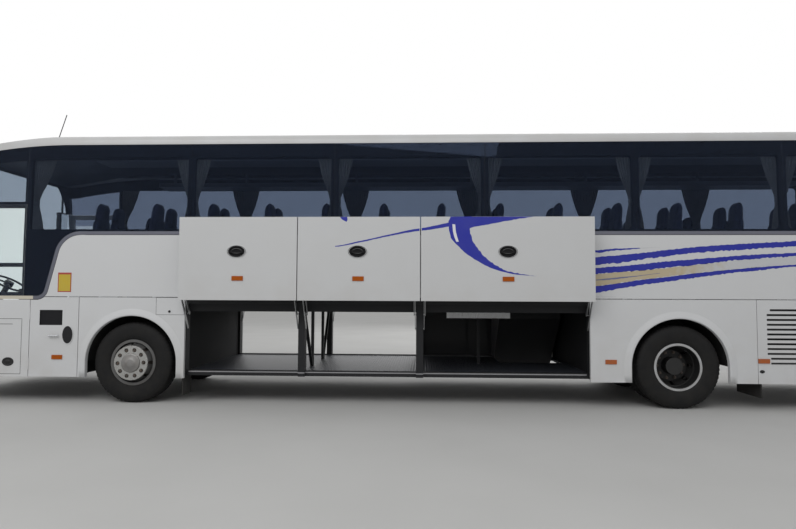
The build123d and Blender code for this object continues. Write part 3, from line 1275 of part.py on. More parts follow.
# Axles: dropped front beam with its kingpin eyes, driven rear axle with shaft, and the air springs
with BuildPart() as axles:
    with BuildSketch(Plane.YZ.offset(FRONT_AXLE_X - BEAM_HALF)) as beam:
        with BuildLine():
            Polyline(
                (-BEAM_END_Y, BEAM_END_Z[0]),
                (-BEAM_DROP_Y, BEAM_DROP_Z[0]),
                (BEAM_DROP_Y, BEAM_DROP_Z[0]),
                (BEAM_END_Y, BEAM_END_Z[0]),
                (BEAM_END_Y, BEAM_END_Z[1]),
                (BEAM_DROP_Y, BEAM_DROP_Z[1]),
                (-BEAM_DROP_Y, BEAM_DROP_Z[1]),
                (-BEAM_END_Y, BEAM_END_Z[1]),
                close=True,
            )
        make_face()
    extrude(amount=2 * BEAM_HALF)
    rod((REAR_AXLE_X, -AXLE_TUBE_Y, WHEEL_Z), (REAR_AXLE_X, AXLE_TUBE_Y, WHEEL_Z), AXLE_TUBE_RADIUS)
    with Locations((REAR_AXLE_X, 0, WHEEL_Z)):
        Sphere(FINAL_DRIVE_RADIUS)
    rod((REAR_AXLE_X, 0, WHEEL_Z), (REAR_AXLE_X + PINION_REACH, 0, WHEEL_Z), PINION_RADIUS)
    rod((REAR_AXLE_X, 0, WHEEL_Z), (ENGINE_X[0] - SEAT, 0, WHEEL_Z), PROP_SHAFT_RADIUS)
    for _, side in SIDES:
        eye = (FRONT_AXLE_X, side * KINGPIN_Y)
        rod((*eye, FORK_Z[2]), (*eye, FORK_Z[3]), EYE_RADIUS)
        rod((*eye, FORK_Z[2] - 1), (*eye, FORK_Z[3] + 1), KINGPIN_RADIUS + SPINDLE_CLEAR, mode=Mode.SUBTRACT)
        start = (REAR_AXLE_X, side * AXLE_TUBE_Y / 2, WHEEL_Z)
        rod(start, (REAR_AXLE_X, side * REAR_SPINDLE_Y, WHEEL_Z), SPINDLE_RADIUS)
        for axle_x, low in ((FRONT_AXLE_X, BEAM_DROP_Z[1]), (REAR_AXLE_X, REAR_SPRING_Z)):
            spring = (axle_x, side * AIR_SPRING_Y)
            rod((*spring, low - 2), (*spring, RAIL_Z[0] - SEAT), AIR_SPRING_RADIUS)
save(axles, "axles")

# Mudflaps behind the wheels: under the hold's front posts, and against hangers off the rear rails
with BuildPart() as mudflaps:
    for _, side in SIDES:
        box_between(FRONT_FLAP_X, sided(side, *FRONT_FLAP_Y), (FRONT_FLAP_Z, SILL_Z[0] - SEAT))
        box_between(REAR_FLAP_X, sided(side, *REAR_FLAP_Y), (REAR_FLAP_Z, FLAP_HANGER_Z[1]))
save(mudflaps, "mudflaps")

# Mirrors: arms reaching forward from the roof's front corners, with upright housings
mirror_seat = envelope(-SEAT)
with BuildPart() as mirrors:
    for _, side in SIDES:
        foot, bend, tip = [(x, side * y, z) for x, y, z in MIRROR_ARM]
        rod(foot, bend, MIRROR_ARM_RADIUS)
        with Locations(bend):
            Sphere(MIRROR_ARM_RADIUS)
        rod(bend, tip, MIRROR_ARM_RADIUS)
    add(mirror_seat, mode=Mode.SUBTRACT)
    for _, side in SIDES:
        tip_x, tip_y, tip_z = MIRROR_ARM[2]
        with Locations((tip_x, side * tip_y, tip_z - MIRROR_SIZE[2] / 2)):
            housing = Box(*MIRROR_SIZE)
        fillet(mirrors.edges().filter_by(Axis.Z).group_by(SortBy.LENGTH)[-1], MIRROR_CORNER)
save(mirrors, "mirrors")


# Saloon seats in pairs, the rear bench and the driver's seat
def seat(x, y, floor_z, width):
    """Seat on a pedestal, its cushion ahead of x and its back leaning behind x."""
    with BuildSketch(Plane.XZ.offset(-(y + width / 2)), mode=Mode.PRIVATE) as section:
        with BuildLine():
            Polyline(*[(x + ahead, floor_z + up) for ahead, up in SEAT_SECTION], close=True)
        make_face()
    extrude(section.sketch, amount=width, mode=Mode.ADD)
    box_between(
        (x - PEDESTAL_X[0], x - PEDESTAL_X[1]),
        (y - PEDESTAL_HALF, y + PEDESTAL_HALF),
        (floor_z, floor_z + SEAT_SECTION[0][1] + 1),
    )


with BuildPart() as seats:
    for row in range(SEAT_ROWS):
        row_x = FIRST_SEAT_X + row * SEAT_PITCH
        for side_name, side in SIDES:
            over_stairs = stairwell_x[0] < row_x - SEAT_SECTION[0][0] and row_x + SEAT_SECTION[0][0] < stairwell_x[1]
            if side_name == "left" or not over_stairs:
                seat(row_x, side * SEAT_CENTRE_Y, FLOOR_Z + SEAT, SEAT_PAIR_WIDTH)
    seat(REAR_BENCH_X, 0, FLOOR_Z + SEAT, REAR_BENCH_WIDTH)
    seat(*DRIVER_SEAT, CAB_FLOOR_Z + SEAT, DRIVER_SEAT_WIDTH)
save(seats, "seats")

# Dashboard across the cab with the steering column
tilt = radians(STEERING_TILT)
column = Vector(sin(tilt), 0, cos(tilt))
wheel_centre = Vector(*STEERING_WHEEL)
with BuildPart() as dashboard:
    add(inside)
    dash_z = (CAB_FLOOR_Z + SEAT, DASH_TOP_Z)
    box_between((2 * FRONT_X, DASH_X), (-REACH, REACH), dash_z, mode=Mode.INTERSECT)
    foot = wheel_centre - column * COLUMN_LENGTH
    rod(tuple(foot), tuple(wheel_centre - column * COLUMN_GAP), COLUMN_RADIUS)
    rod(tuple(foot), tuple(wheel_centre), COLUMN_PIN_RADIUS)
save(dashboard, "dashboard")

# Steering wheel: ring, four spokes and a hub bored for the column's pin
ring_plane = Plane(origin=STEERING_WHEEL, x_dir=(0, 1, 0), z_dir=tuple(column))
with BuildPart() as steering_wheel:
    with Locations(ring_plane):
        Torus(STEERING_WHEEL_RADIUS, RING_RADIUS)
    low = wheel_centre - column * (COLUMN_GAP - 5)
    high = wheel_centre + column * HUB_TOP
    for spoke in range(4):
        angle = radians(45 + 90 * spoke)
        reach = STEERING_WHEEL_RADIUS
        end = ring_plane.from_local_coords(Vector(reach * cos(angle), reach * sin(angle), 0))
        rod(STEERING_WHEEL, tuple(end), SPOKE_RADIUS)
    rod(tuple(low), tuple(high), STEERING_HUB_RADIUS)
    rod(tuple(low - column), tuple(wheel_centre + column), COLUMN_PIN_RADIUS + SPINDLE_CLEAR, mode=Mode.SUBTRACT)
save(steering_wheel, "steering_wheel")

# Luggage racks over the seats, hung from the roof
with BuildPart() as luggage_racks:
    for _, side in SIDES:
        for hanger_x in RACK_HANGER_XS:
            hanger_y = sided(side, RACK_Y[1] - RACK_HANGER, RACK_Y[1])
            box_between((hanger_x, hanger_x + RACK_HANGER), hanger_y, (RACK_Z[0], 2 * ROOF_Z))
    add(inside, mode=Mode.INTERSECT)
    for _, side in SIDES:
        box_between(RACK_X, sided(side, *RACK_Y), RACK_Z)
save(luggage_racks, "luggage_racks")

# Curtains gathered at the pillars, waisted where they are tied back
saloon_space = envelope(GLASS + FRAME_DEPTH + 3 * SEAT)
with BuildPart() as curtains:
    add(saloon_space - envelope(GLASS + FRAME_DEPTH + 3 * SEAT + CURTAIN_DEPTH))
    with BuildSketch(Plane.XZ) as drapes:
        for joint_x in WINDOW_JOINTS[1:]:
            with BuildLine():
                Polyline(
                    (joint_x - CURTAIN_TOP, CURTAIN_Z[1]),
                    (joint_x - CURTAIN_TIE, CURTAIN_TIE_Z),
                    (joint_x - CURTAIN_FOOT, CURTAIN_Z[0]),
                    (joint_x + CURTAIN_FOOT, CURTAIN_Z[0]),
                    (joint_x + CURTAIN_TIE, CURTAIN_TIE_Z),
                    (joint_x + CURTAIN_TOP, CURTAIN_Z[1]),
                    close=True,
                )
            make_face()
    extrude(amount=REACH, both=True, mode=Mode.INTERSECT)
save(curtains, "curtains")
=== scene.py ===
import bmesh
import bpy
import json
import random
from math import cos, pi, radians, sin, sqrt
from mathutils import Matrix, Vector

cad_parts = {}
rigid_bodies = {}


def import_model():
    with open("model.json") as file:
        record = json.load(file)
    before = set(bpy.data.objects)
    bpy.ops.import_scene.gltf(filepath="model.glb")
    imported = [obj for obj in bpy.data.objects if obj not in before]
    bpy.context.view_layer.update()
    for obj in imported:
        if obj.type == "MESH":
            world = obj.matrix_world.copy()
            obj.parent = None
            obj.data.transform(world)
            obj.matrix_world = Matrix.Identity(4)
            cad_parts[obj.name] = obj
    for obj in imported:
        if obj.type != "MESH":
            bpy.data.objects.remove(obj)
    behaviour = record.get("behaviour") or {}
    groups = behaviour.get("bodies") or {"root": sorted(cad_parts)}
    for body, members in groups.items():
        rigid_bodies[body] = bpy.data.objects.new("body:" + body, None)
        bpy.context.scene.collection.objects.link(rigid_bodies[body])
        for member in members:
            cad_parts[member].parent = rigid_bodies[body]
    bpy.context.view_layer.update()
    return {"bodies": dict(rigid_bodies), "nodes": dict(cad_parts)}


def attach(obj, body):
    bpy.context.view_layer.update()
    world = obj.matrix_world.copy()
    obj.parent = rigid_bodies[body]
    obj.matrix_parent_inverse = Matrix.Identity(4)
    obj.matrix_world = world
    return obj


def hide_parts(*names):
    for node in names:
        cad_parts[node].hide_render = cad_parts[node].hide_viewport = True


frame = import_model()
nodes = frame["nodes"]

# Body panels: pressed steel and glass-fibre panels, bonded and riveted to the frame and sprayed white.
# Years of road use leave a thin film of dust on them, thicker along the skirt.
PAINT_WHITE = (0.61, 0.618, 0.628)
ROAD_DUST = (0.42, 0.39, 0.35)
SKIRT_FILM = (0.33, 1.15)
COAT_ROUGHNESS = 0.08
DULLEST = 0.95
GRAIN_HEIGHT = 0.002
RIB_STRENGTH = 0.9
RIB_HEIGHT = 0.003
HOLD_INSIDE = ("box", (-2.98, -1.266, 0.34), (2.17, 1.266, 1.372))
HOLD_SKIN_PAINTED_SHADE = (0.01, 0.0105, 0.012)
PLATE_HALF = (0.26, 0.055)
PLATE_HOLDER = 0.009
PLATE_PLACES = ((-6.6, 0.415), (6.6, 0.44))
PLATE_REACH = 0.05
HOLDER_BLACK = (0.015, 0.015, 0.016)
PLATE_PALE = (0.6, 0.6, 0.58)


def add_socket(group, name, kind, default=None, output=False):
    socket = group.interface.new_socket(name, in_out="OUTPUT" if output else "INPUT", socket_type=kind)
    if default is not None:
        socket.default_value = default


def add_node(tree, kind, inputs=None, **settings):
    """Adds a node with its settings; each input takes a plain value or another node's output."""
    node = tree.nodes.new(kind)
    for name, value in settings.items():
        setattr(node, name, value)
    for socket, value in (inputs or {}).items():
        if isinstance(value, bpy.types.NodeSocket):
            tree.links.new(value, node.inputs[socket])
        else:
            node.inputs[socket].default_value = value
    return node


def reckon(tree, operation, *values):
    """Result of a Math node."""
    return add_node(tree, "ShaderNodeMath", dict(enumerate(values)), operation=operation).outputs["Value"]


def object_place(tree):
    return add_node(tree, "ShaderNodeTexCoord").outputs["Object"]


def wear_group():
    """Patches of wear: thick low down, thin higher up, broken up by noise."""
    group = bpy.data.node_groups.new("Patchy wear", "ShaderNodeTree")
    for name, value in (("Scale", 3.0), ("Everywhere", 0.1), ("Low down", 0.6), ("Low Z", 0.3),
                        ("High Z", 1.1)):
        add_socket(group, name, "NodeSocketFloat", value)
    for name in ("Wear", "Grain"):
        add_socket(group, name, "NodeSocketFloat", output=True)
    given = group.nodes.new("NodeGroupInput").outputs
    place = object_place(group)
    split = add_node(group, "ShaderNodeSeparateXYZ", {0: place})
    height = add_node(group, "ShaderNodeMapRange", {
        "Value": split.outputs["Z"], "From Min": given["Low Z"], "From Max": given["High Z"],
        "To Min": given["Low down"], "To Max": given["Everywhere"]})
    noise = add_node(group, "ShaderNodeTexNoise", {"Detail": 6, "Vector": place, "Scale": given["Scale"]})
    spread = add_node(group, "ShaderNodeMapRange", {"From Min": 0.35, "From Max": 0.75,
                                                    "Value": noise.outputs["Fac"]})
    worn = reckon(group, "MULTIPLY", height.outputs["Result"], spread.outputs["Result"])
    fine = add_node(group, "ShaderNodeTexNoise", {"Detail": 3, "Scale": 180, "Vector": place})
    add_node(group, "NodeGroupOutput", {"Wear": worn, "Grain": fine.outputs["Fac"]})
    return group


WEAR = wear_group()


def finish_of(name, colour, dirt, everywhere=0.1, low=0.5, band=SKIRT_FILM, scale=3.0,
              roughness=0.4, metallic=0.0, coat=0.0, grain=0.0, shine=0.5):
    """Material with one colour under patches of another."""
    material = bpy.data.materials.new(name)
    material.use_nodes = True
    tree = material.node_tree
    surface = tree.nodes["Principled BSDF"].inputs
    wear = add_node(tree, "ShaderNodeGroup", {
        "Scale": scale, "Everywhere": everywhere, "Low down": low, "Low Z": band[0], "High Z": band[1]},
        node_tree=WEAR).outputs
    tint = add_node(tree, "ShaderNodeMix", {"A": (*colour, 1), "B": (*dirt, 1), "Factor": wear["Wear"]},
                    data_type="RGBA")
    tree.links.new(tint.outputs["Result"], surface["Base Color"])
    dull = add_node(tree, "ShaderNodeMapRange", {
        "To Min": roughness, "To Max": min(DULLEST, roughness + 0.4), "Value": wear["Wear"]})
    tree.links.new(dull.outputs["Result"], surface["Roughness"])
    for socket, value in (("Metallic", metallic), ("Coat Weight", coat), ("Specular IOR Level", shine),
                          ("Coat Roughness", COAT_ROUGHNESS)):
        surface[socket].default_value = value
    if grain:
        bump = add_node(tree, "ShaderNodeBump", {
            "Strength": grain, "Distance": GRAIN_HEIGHT, "Height": wear["Grain"]})
        tree.links.new(bump.outputs["Normal"], surface["Normal"])
    return material


def dress(material, *names):
    for name in names:
        for slot in nodes[name].material_slots:
            slot.material = material


def blend(material, socket, value, share):
    """Mixes what a socket of the surface has with another value; one that is the same already stays plain."""
    tree = material.node_tree
    target = tree.nodes["Principled BSDF"].inputs[socket]
    if not target.links and target.default_value == value:
        return
    before = target.links[0].from_socket if target.links else target.default_value
    mix = add_node(tree, "ShaderNodeMix", {"A": before, "B": value, "Factor": share},
                   data_type="RGBA" if socket == "Base Color" else "FLOAT")
    tree.links.new(mix.outputs["Result"], target)


def spots(material, colour, shapes, roughness=0.35, metallic=0.0, ribs=0.0):
    """Colours a material within boxes or ellipses (kind, low corner, high corner), with or without ribs."""
    tree = material.node_tree
    place = object_place(tree)
    total = None
    for kind, low, high in shapes:
        middle = [(a + b) / 2 for a, b in zip(low, high)]
        half = [(b - a) / 2 for a, b in zip(low, high)]
        shift = add_node(tree, "ShaderNodeVectorMath", {0: place, 1: middle}, operation="SUBTRACT")
        size = add_node(tree, "ShaderNodeVectorMath", {0: shift.outputs["Vector"], 1: half},
                        operation="DIVIDE")
        plain = add_node(tree, "ShaderNodeVectorMath", {0: size.outputs["Vector"]},
                         operation="LENGTH" if kind == "ellipse" else "ABSOLUTE")
        if kind == "ellipse":
            reach = plain.outputs["Value"]
        else:
            split = add_node(tree, "ShaderNodeSeparateXYZ", {0: plain.outputs["Vector"]}).outputs
            reach = reckon(tree, "MAXIMUM", reckon(tree, "MAXIMUM", split["X"], split["Y"]), split["Z"])
        inside = reckon(tree, "LESS_THAN", reach, 1.0)
        total = inside if total is None else reckon(tree, "MAXIMUM", total, inside)
    for socket, value in (("Base Color", (*colour, 1)), ("Roughness", roughness), ("Metallic", metallic)):
        blend(material, socket, value, total)
    if ribs:
        wave = add_node(tree, "ShaderNodeTexWave", {"Scale": ribs, "Vector": place})
        within = reckon(tree, "MULTIPLY", wave.outputs["Fac"], total)
        bump = add_node(tree, "ShaderNodeBump", {"Strength": RIB_STRENGTH, "Distance": RIB_HEIGHT,
                                                 "Height": within})
        normal = tree.nodes["Principled BSDF"].inputs["Normal"]
        if normal.links:
            tree.links.new(normal.links[0].from_socket, bump.inputs["Normal"])
        tree.links.new(bump.outputs["Normal"], normal)


body_paint = finish_of("white body paint", PAINT_WHITE, ROAD_DUST, everywhere=0.05, low=0.32, roughness=0.3,
                       coat=0.12, shine=0.3)
# Inside the luggage hold the panels' inner faces are near-black: painted shade of the hold.
spots(body_paint, HOLD_SKIN_PAINTED_SHADE, [HOLD_INSIDE], roughness=0.7)
for end_x, plate_z in PLATE_PLACES:
    for margin, tone in ((PLATE_HOLDER, HOLDER_BLACK), (0.0, PLATE_PALE)):
        half_y, half_z = PLATE_HALF[0] + margin, PLATE_HALF[1] + margin
        spots(body_paint, tone, [("box", (end_x - PLATE_REACH, -half_y, plate_z - half_z),
                                  (end_x + PLATE_REACH, half_y, plate_z + half_z))], roughness=0.4)
dress(body_paint, "side_panels_left", "side_panels_right", "front_mask", "rear_panel", "engine_lid")

# Roof: the same white panels outside; underneath, its faces that look down are a dark blue-grey.
# A black whip aerial stands on it at the front.
AERIAL = ("box", (-5.15, -0.86, 3.515), (-4.9, -0.74, 4.0))
AERIAL_BLACK = (0.02, 0.02, 0.022)
CEILING_GREY = (0.06, 0.068, 0.09)
FACING_AWAY = -0.3
roof_paint = finish_of("white roof paint", (0.53, 0.535, 0.54), ROAD_DUST, everywhere=0.3, low=0.3,
                       roughness=0.35, coat=0.1)
spots(roof_paint, AERIAL_BLACK, [AERIAL], roughness=0.5)


def lined(material, colour, axis="Z"):
    """Gives the faces that look down, or to the left with axis Y, another colour."""
    tree = material.node_tree
    facing = add_node(tree, "ShaderNodeNewGeometry").outputs["True Normal"]
    split = add_node(tree, "ShaderNodeSeparateXYZ", {0: facing})
    blend(material, "Base Color", (*colour, 1), reckon(tree, "LESS_THAN", split.outputs[axis], FACING_AWAY))


lined(roof_paint, CEILING_GREY)
dress(roof_paint, "roof")

# Passenger doors: white skins on an aluminium frame, each with its own bonded pane.
# They are hung on two hinges and close flush with the side.
dress(body_paint, "front_door", "middle_door")

# Glazing: toughened tinted panes bonded flush to the black frames.
# The windscreen is laminated and only faintly tinted, as are the driver's side panes.
TINT = (0.27, 0.31, 0.38)
CLEAR_TINT = (0.72, 0.76, 0.76)
WINDSCREEN_TINT = (0.8, 0.86, 0.87)
# The panes' reflections are tinted sky blue: a painted reflection.
GLASS_SKY_REFLECTION_TINT = (0.45, 0.58, 0.9)
GLASS_INDEX = 1.25
GLASS_ROUGHNESS = 0.004
FILM_ROUGHNESS = 0.01
DRIVER_PANES = ("box", (-6.2, -1.4, 1.3), (-5.16, 1.4, 2.6))


def glass(name, colour):
    """Tinted glass under a faint film of dust."""
    material = bpy.data.materials.new(name)
    material.use_nodes = True
    tree = material.node_tree
    surface = tree.nodes["Principled BSDF"].inputs
    for socket, value in (("Base Color", (*colour, 1)), ("Transmission Weight", 1.0), ("Metallic", 0.0),
                          ("IOR", GLASS_INDEX), ("Specular Tint", (*GLASS_SKY_REFLECTION_TINT, 1))):
        surface[socket].default_value = value
    film = add_node(tree, "ShaderNodeTexNoise", {"Scale": 1.4, "Detail": 4, "Vector": object_place(tree)})
    dull = add_node(tree, "ShaderNodeMapRange", {
        "To Min": GLASS_ROUGHNESS, "To Max": GLASS_ROUGHNESS + FILM_ROUGHNESS, "Value": film.outputs["Fac"]})
    tree.links.new(dull.outputs["Result"], surface["Roughness"])
    return material


tinted = glass("tinted side glass", TINT)
dress(tinted, "side_windows", "front_door_window", "middle_door_window", "rear_window")
spots(tinted, CLEAR_TINT, [DRIVER_PANES], roughness=0.02)
dress(glass("windscreen glass", WINDSCREEN_TINT), "windscreen")

# Frames behind the glass and along the hold: steel tube and pressed section, welded up and painted black.
# The hold's sill is covered with a strip of bare steel that takes the knocks of the luggage.
FRAME_LOW_DOWN = ("box", (-7.0, -1.4, 0.2), (7.0, 1.4, 1.37))
FRAME_LOW_BLACK = (0.012, 0.0125, 0.014)
SILL_STRIP = ("box", (-2.98, -1.4, 0.402), (2.16, 1.4, 0.416))
SILL_STEEL = (0.3, 0.3, 0.31)
frame_paint = finish_of("black window frame", (0.012, 0.013, 0.018), (0.03, 0.03, 0.03), roughness=0.4,
                        shine=0.25)
dress(frame_paint, "body_frame")
spots(frame_paint, FRAME_LOW_BLACK, [FRAME_LOW_DOWN], roughness=0.55)
spots(frame_paint, SILL_STEEL, [SILL_STRIP], roughness=0.35, metallic=0.7)

# Belt moulding: an extruded aluminium strip over the seam between glass and panels, with a pale insert.
# The short length at the cab is cream.
CAB_MOULDING = ("box", (-7.0, -1.4, 1.2), (-5.03, 1.4, 1.6))
CREAM = (0.56, 0.52, 0.43)
moulding = finish_of("belt moulding", (0.12, 0.125, 0.155), (0.25, 0.25, 0.26), roughness=0.3, metallic=0.6)
dress(moulding, "belt_mouldings")
spots(moulding, CREAM, [CAB_MOULDING], roughness=0.4)

# Livery: vinyl stripes in dark blue, beige and grey, cut with a torn brush edge and stuck to the paint.
# They sweep back from a crescent on the third luggage door. The right side is the mirror image, cut out round
# the pane of the middle door.
DECAL_PROUD = 0.0009
TORN_SHARE = 0.22
BAND_TORN_SHARE = 0.2
STRIPE_STEP = 0.024
FADE_UNEVEN = 0.9


def mesh_object(name, points, faces, material, smooth=False):
    mesh = bpy.data.meshes.new(name)
    mesh.from_pydata([tuple(point) for point in points], [], faces)
    mesh.materials.append(material)
    for polygon in mesh.polygons:
        polygon.use_smooth = smooth
    mesh.update()
    thing = bpy.data.objects.new(name, mesh)
    bpy.context.scene.collection.objects.link(thing)
    return thing


def eased(stations, x):
    """Value of each column at x, on a smooth curve through the stations."""
    for index in range(len(stations) - 1):
        if stations[index][0] <= x <= stations[index + 1][0]:
            break
    p1, p2 = stations[index], stations[index + 1]
    p0 = stations[max(0, index - 1)]
    p3 = stations[min(len(stations) - 1, index + 2)]
    t = (x - p1[0]) / (p2[0] - p1[0])
    values = []
    for column in range(1, len(p1)):
        a, b, c, d = p0[column], p1[column], p2[column], p3[column]
        values.append(0.5 * (2 * b + (c - a) * t + (2 * a - 5 * b + 4 * c - d) * t**2
                             + (3 * b - a - 3 * c + d) * t**3))
    return values


def decal(name, points, faces, material, body, side, face_y, drop=0.0, proud=DECAL_PROUD):
    """Decal from (x, z) points, laid on a face of one side."""
    placed = [(x, side * (face_y + proud), z - drop) for x, z in points]
    turned = faces if side < 0 else [face[::-1] for face in faces]
    sticker = mesh_object(name, placed, turned, material)
    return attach(sticker, body)


def stripe(name, stations, material, places, torn=0.009, proud=DECAL_PROUD):
    """Ribbon between two height curves given as (x, top, bottom), with a torn lower edge."""
    for word, body, side, face_y, drop, low_x, high_x, low_z, high_z in places:
        start, end = max(stations[0][0], low_x), min(stations[-1][0], high_x)
        if end <= start:
            continue
        count = max(2, round((end - start) / STRIPE_STEP))
        dice = random.Random(name)
        points = []
        for index in range(count + 1):
            x = start + (end - start) * index / count
            top, bottom = eased(stations, min(x, end))
            rough = min(torn, TORN_SHARE * max(0.0, top - bottom))
            points.append((x, max(bottom + dice.uniform(-rough, rough), low_z)))
            points.append((x, min(top + dice.uniform(-0.5 * rough, 0.5 * rough), high_z)))
        if any(high[1] <= low[1] for low, high in zip(points[0::2], points[1::2])):
            continue
        faces = [(2 * index, 2 * index + 2, 2 * index + 3, 2 * index + 1) for index in range(count)]
        decal(f"{name}_{word}", points, faces, material, body, side, face_y, drop, proud)


def fade(material, colour, start, end):
    """Turns a material to another colour along the coach, from x start to x end, through uneven patches."""
    tree = material.node_tree
    place = object_place(tree)
    split = add_node(tree, "ShaderNodeSeparateXYZ", {0: place})
    uneven = add_node(tree, "ShaderNodeTexNoise", {"Scale": 14, "Vector": place})
    shifted = reckon(tree, "MULTIPLY_ADD", uneven.outputs["Fac"], FADE_UNEVEN, split.outputs["X"])
    ramp = add_node(tree, "ShaderNodeMapRange", {
        "From Min": start + FADE_UNEVEN / 2, "From Max": end + FADE_UNEVEN / 2, "Value": shifted})
    blend(material, "Base Color", (*colour, 1), ramp.outputs["Result"])


PALE_GREY = (0.52, 0.53, 0.55)
BEIGE_FADES_X = (3.2, 3.9)
blue = finish_of("blue vinyl", (0.022, 0.03, 0.32), (0.2, 0.2, 0.3), everywhere=0.06, low=0.12, roughness=0.4,
                 scale=6, shine=0.25)
beige = finish_of("beige vinyl", (0.46, 0.385, 0.25), PAINT_WHITE, everywhere=0.12, low=0.2, roughness=0.4,
                  scale=5)
grey = finish_of("grey vinyl", PALE_GREY, PAINT_WHITE, everywhere=0.2, low=0.2, roughness=0.4, scale=8)
fade(beige, PALE_GREY, *BEIGE_FADES_X)
slate = finish_of("slate vinyl", (0.13, 0.14, 0.26), (0.4, 0.38, 0.34), everywhere=0.2, low=0.3,
                  roughness=0.4, scale=12)
SIDE_Y = 1.275
RAISED_Y = 1.564
DOOR_RISE = 1.0125
PANEL_FOOT_Z = 1.384
MIDDLE_DOOR_X = 1.246
MIDDLE_DOOR_END = 2.114
DOOR_PANE_X = (1.325, 2.035)
DOOR_PANE_FOOT_Z = 1.434
BODY_MARGIN = 0.006
DOOR_MARGIN = 0.008
PANE_MARGIN = 0.002
FOOT_MARGIN = 0.003
BEHIND_ALL_X = 7.0
ABOVE_ALL_Z = 4.0
# Each place is a word for the name, the body, the side, the face, a drop, and the limits in x and in z.
QUARTER = [(word, body, side, SIDE_Y, 0.0, low_x, high_x, PANEL_FOOT_Z, high_z)
           for word, body, side, low_x, high_x, high_z in (
    ("left", "coach_body", -1, 0.0, BEHIND_ALL_X, ABOVE_ALL_Z),
    ("right", "coach_body", 1, MIDDLE_DOOR_END + BODY_MARGIN, BEHIND_ALL_X, ABOVE_ALL_Z),
    ("right_door_rear", "middle_door", 1, DOOR_PANE_X[1] + PANE_MARGIN, MIDDLE_DOOR_END - DOOR_MARGIN,
     ABOVE_ALL_Z),
    ("right_door_foot", "middle_door", 1, DOOR_PANE_X[0] - PANE_MARGIN, DOOR_PANE_X[1] + PANE_MARGIN,
     DOOR_PANE_FOOT_Z - FOOT_MARGIN),
    ("right_door_front", "middle_door", 1, MIDDLE_DOOR_X + DOOR_MARGIN, DOOR_PANE_X[0] - PANE_MARGIN,
     ABOVE_ALL_Z),
    ("right_ahead", "coach_body", 1, 0.0, MIDDLE_DOOR_X - BODY_MARGIN, ABOVE_ALL_Z))]
stripe("upper_blue_line", ((2.253, 1.989, 1.956), (2.358, 1.998, 1.966), (2.482, 2.011, 1.985),
                           (2.649, 2.015, 1.998), (2.814, 2.022, 2.012)), blue, QUARTER)
stripe("upper_grey_tail", ((2.814, 2.022, 2.012), (2.94, 2.027, 2.02), (3.063, 2.031, 2.028)), grey, QUARTER,
       torn=0.001)
stripe("high_blue_stripe", ((0.435, 1.386, 1.384), (0.5, 1.452, 1.4), (0.6, 1.518, 1.458),
                            (0.75, 1.582, 1.518), (0.95, 1.645, 1.576), (1.2, 1.706, 1.634),
                            (1.5, 1.766, 1.69), (1.85, 1.83, 1.744), (2.252, 1.899, 1.804),
                            (2.544, 1.926, 1.83), (2.813, 1.954, 1.872), (3.124, 1.992, 1.915),
                            (3.433, 2.024, 1.951), (3.742, 2.052, 1.978), (4.049, 2.071, 1.997),
                            (4.416, 2.092, 2.023), (4.733, 2.107, 2.048), (5.5, 2.135, 2.095),
                            (6.32, 2.157, 2.137)), blue, QUARTER)
stripe("middle_blue_stripe", ((0.62, 1.43, 1.424), (0.8, 1.497, 1.465), (1.0, 1.545, 1.503),
                              (1.3, 1.608, 1.552), (1.6, 1.662, 1.598), (1.95, 1.718, 1.645),
                              (2.251, 1.764, 1.686), (2.541, 1.789, 1.715), (2.811, 1.813, 1.735),
                              (3.121, 1.849, 1.768), (3.43, 1.873, 1.802), (3.738, 1.899, 1.838),
                              (4.045, 1.926, 1.872), (4.412, 1.946, 1.898), (4.729, 1.965, 1.919),
                              (5.5, 2.01, 1.972), (6.32, 2.05, 2.027)), blue, QUARTER)
stripe("beige_stripe", ((0.78, 1.44, 1.434), (1.0, 1.489, 1.456), (1.3, 1.541, 1.48), (1.6, 1.587, 1.501),
                        (1.95, 1.638, 1.52), (2.249, 1.681, 1.538), (2.54, 1.712, 1.577),
                        (2.81, 1.733, 1.618), (3.119, 1.765, 1.656), (3.429, 1.798, 1.695),
                        (3.6, 1.818, 1.716), (3.737, 1.834, 1.731), (4.044, 1.868, 1.763),
                        (4.411, 1.893, 1.793), (4.728, 1.914, 1.813), (5.5, 1.957, 1.862),
                        (6.32, 2.01, 1.925)), beige, QUARTER)
stripe("low_blue_stripe", ((0.435, 1.386, 1.384), (0.6, 1.412, 1.384), (0.9, 1.433, 1.384),
                           (1.2, 1.449, 1.384), (1.43, 1.464, 1.384), (1.8, 1.494, 1.41),
                           (2.248, 1.534, 1.448), (2.538, 1.573, 1.502), (2.808, 1.616, 1.551),
                           (3.117, 1.652, 1.594), (3.426, 1.693, 1.636), (3.734, 1.729, 1.681),
                           (4.041, 1.761, 1.719), (4.408, 1.791, 1.756), (4.725, 1.813, 1.792),
                           (5.1, 1.832, 1.821)), blue, QUARTER, torn=0.006)
stripe("beige_streak", ((2.259, 1.62, 1.606), (2.415, 1.636, 1.617), (2.56, 1.651, 1.634),
                        (2.809, 1.674, 1.666), (3.057, 1.702, 1.698)), slate, QUARTER, torn=0.003,
       proud=2 * DECAL_PROUD)
stripe("faint_grey_line", ((2.255, 1.406, 1.4), (2.38, 1.406, 1.4), (2.505, 1.405, 1.402)), grey, QUARTER,
       torn=0.001)
stripe("thin_line_on_second_door", ((-1.012, 2.018, 2.008), (-0.726, 2.076, 2.058), (-0.379, 2.153, 2.135),
                                    (0.036, 2.237, 2.205)), blue,
       (("left", "luggage_door_left_2", -1, RAISED_Y, 0.0, -2.0, 0.04, 0.0, ABOVE_ALL_Z),
        ("right", "luggage_door_right_2", 1, RAISED_Y, 0.0, -2.0, 0.04, 0.0, ABOVE_ALL_Z)), torn=0.002)
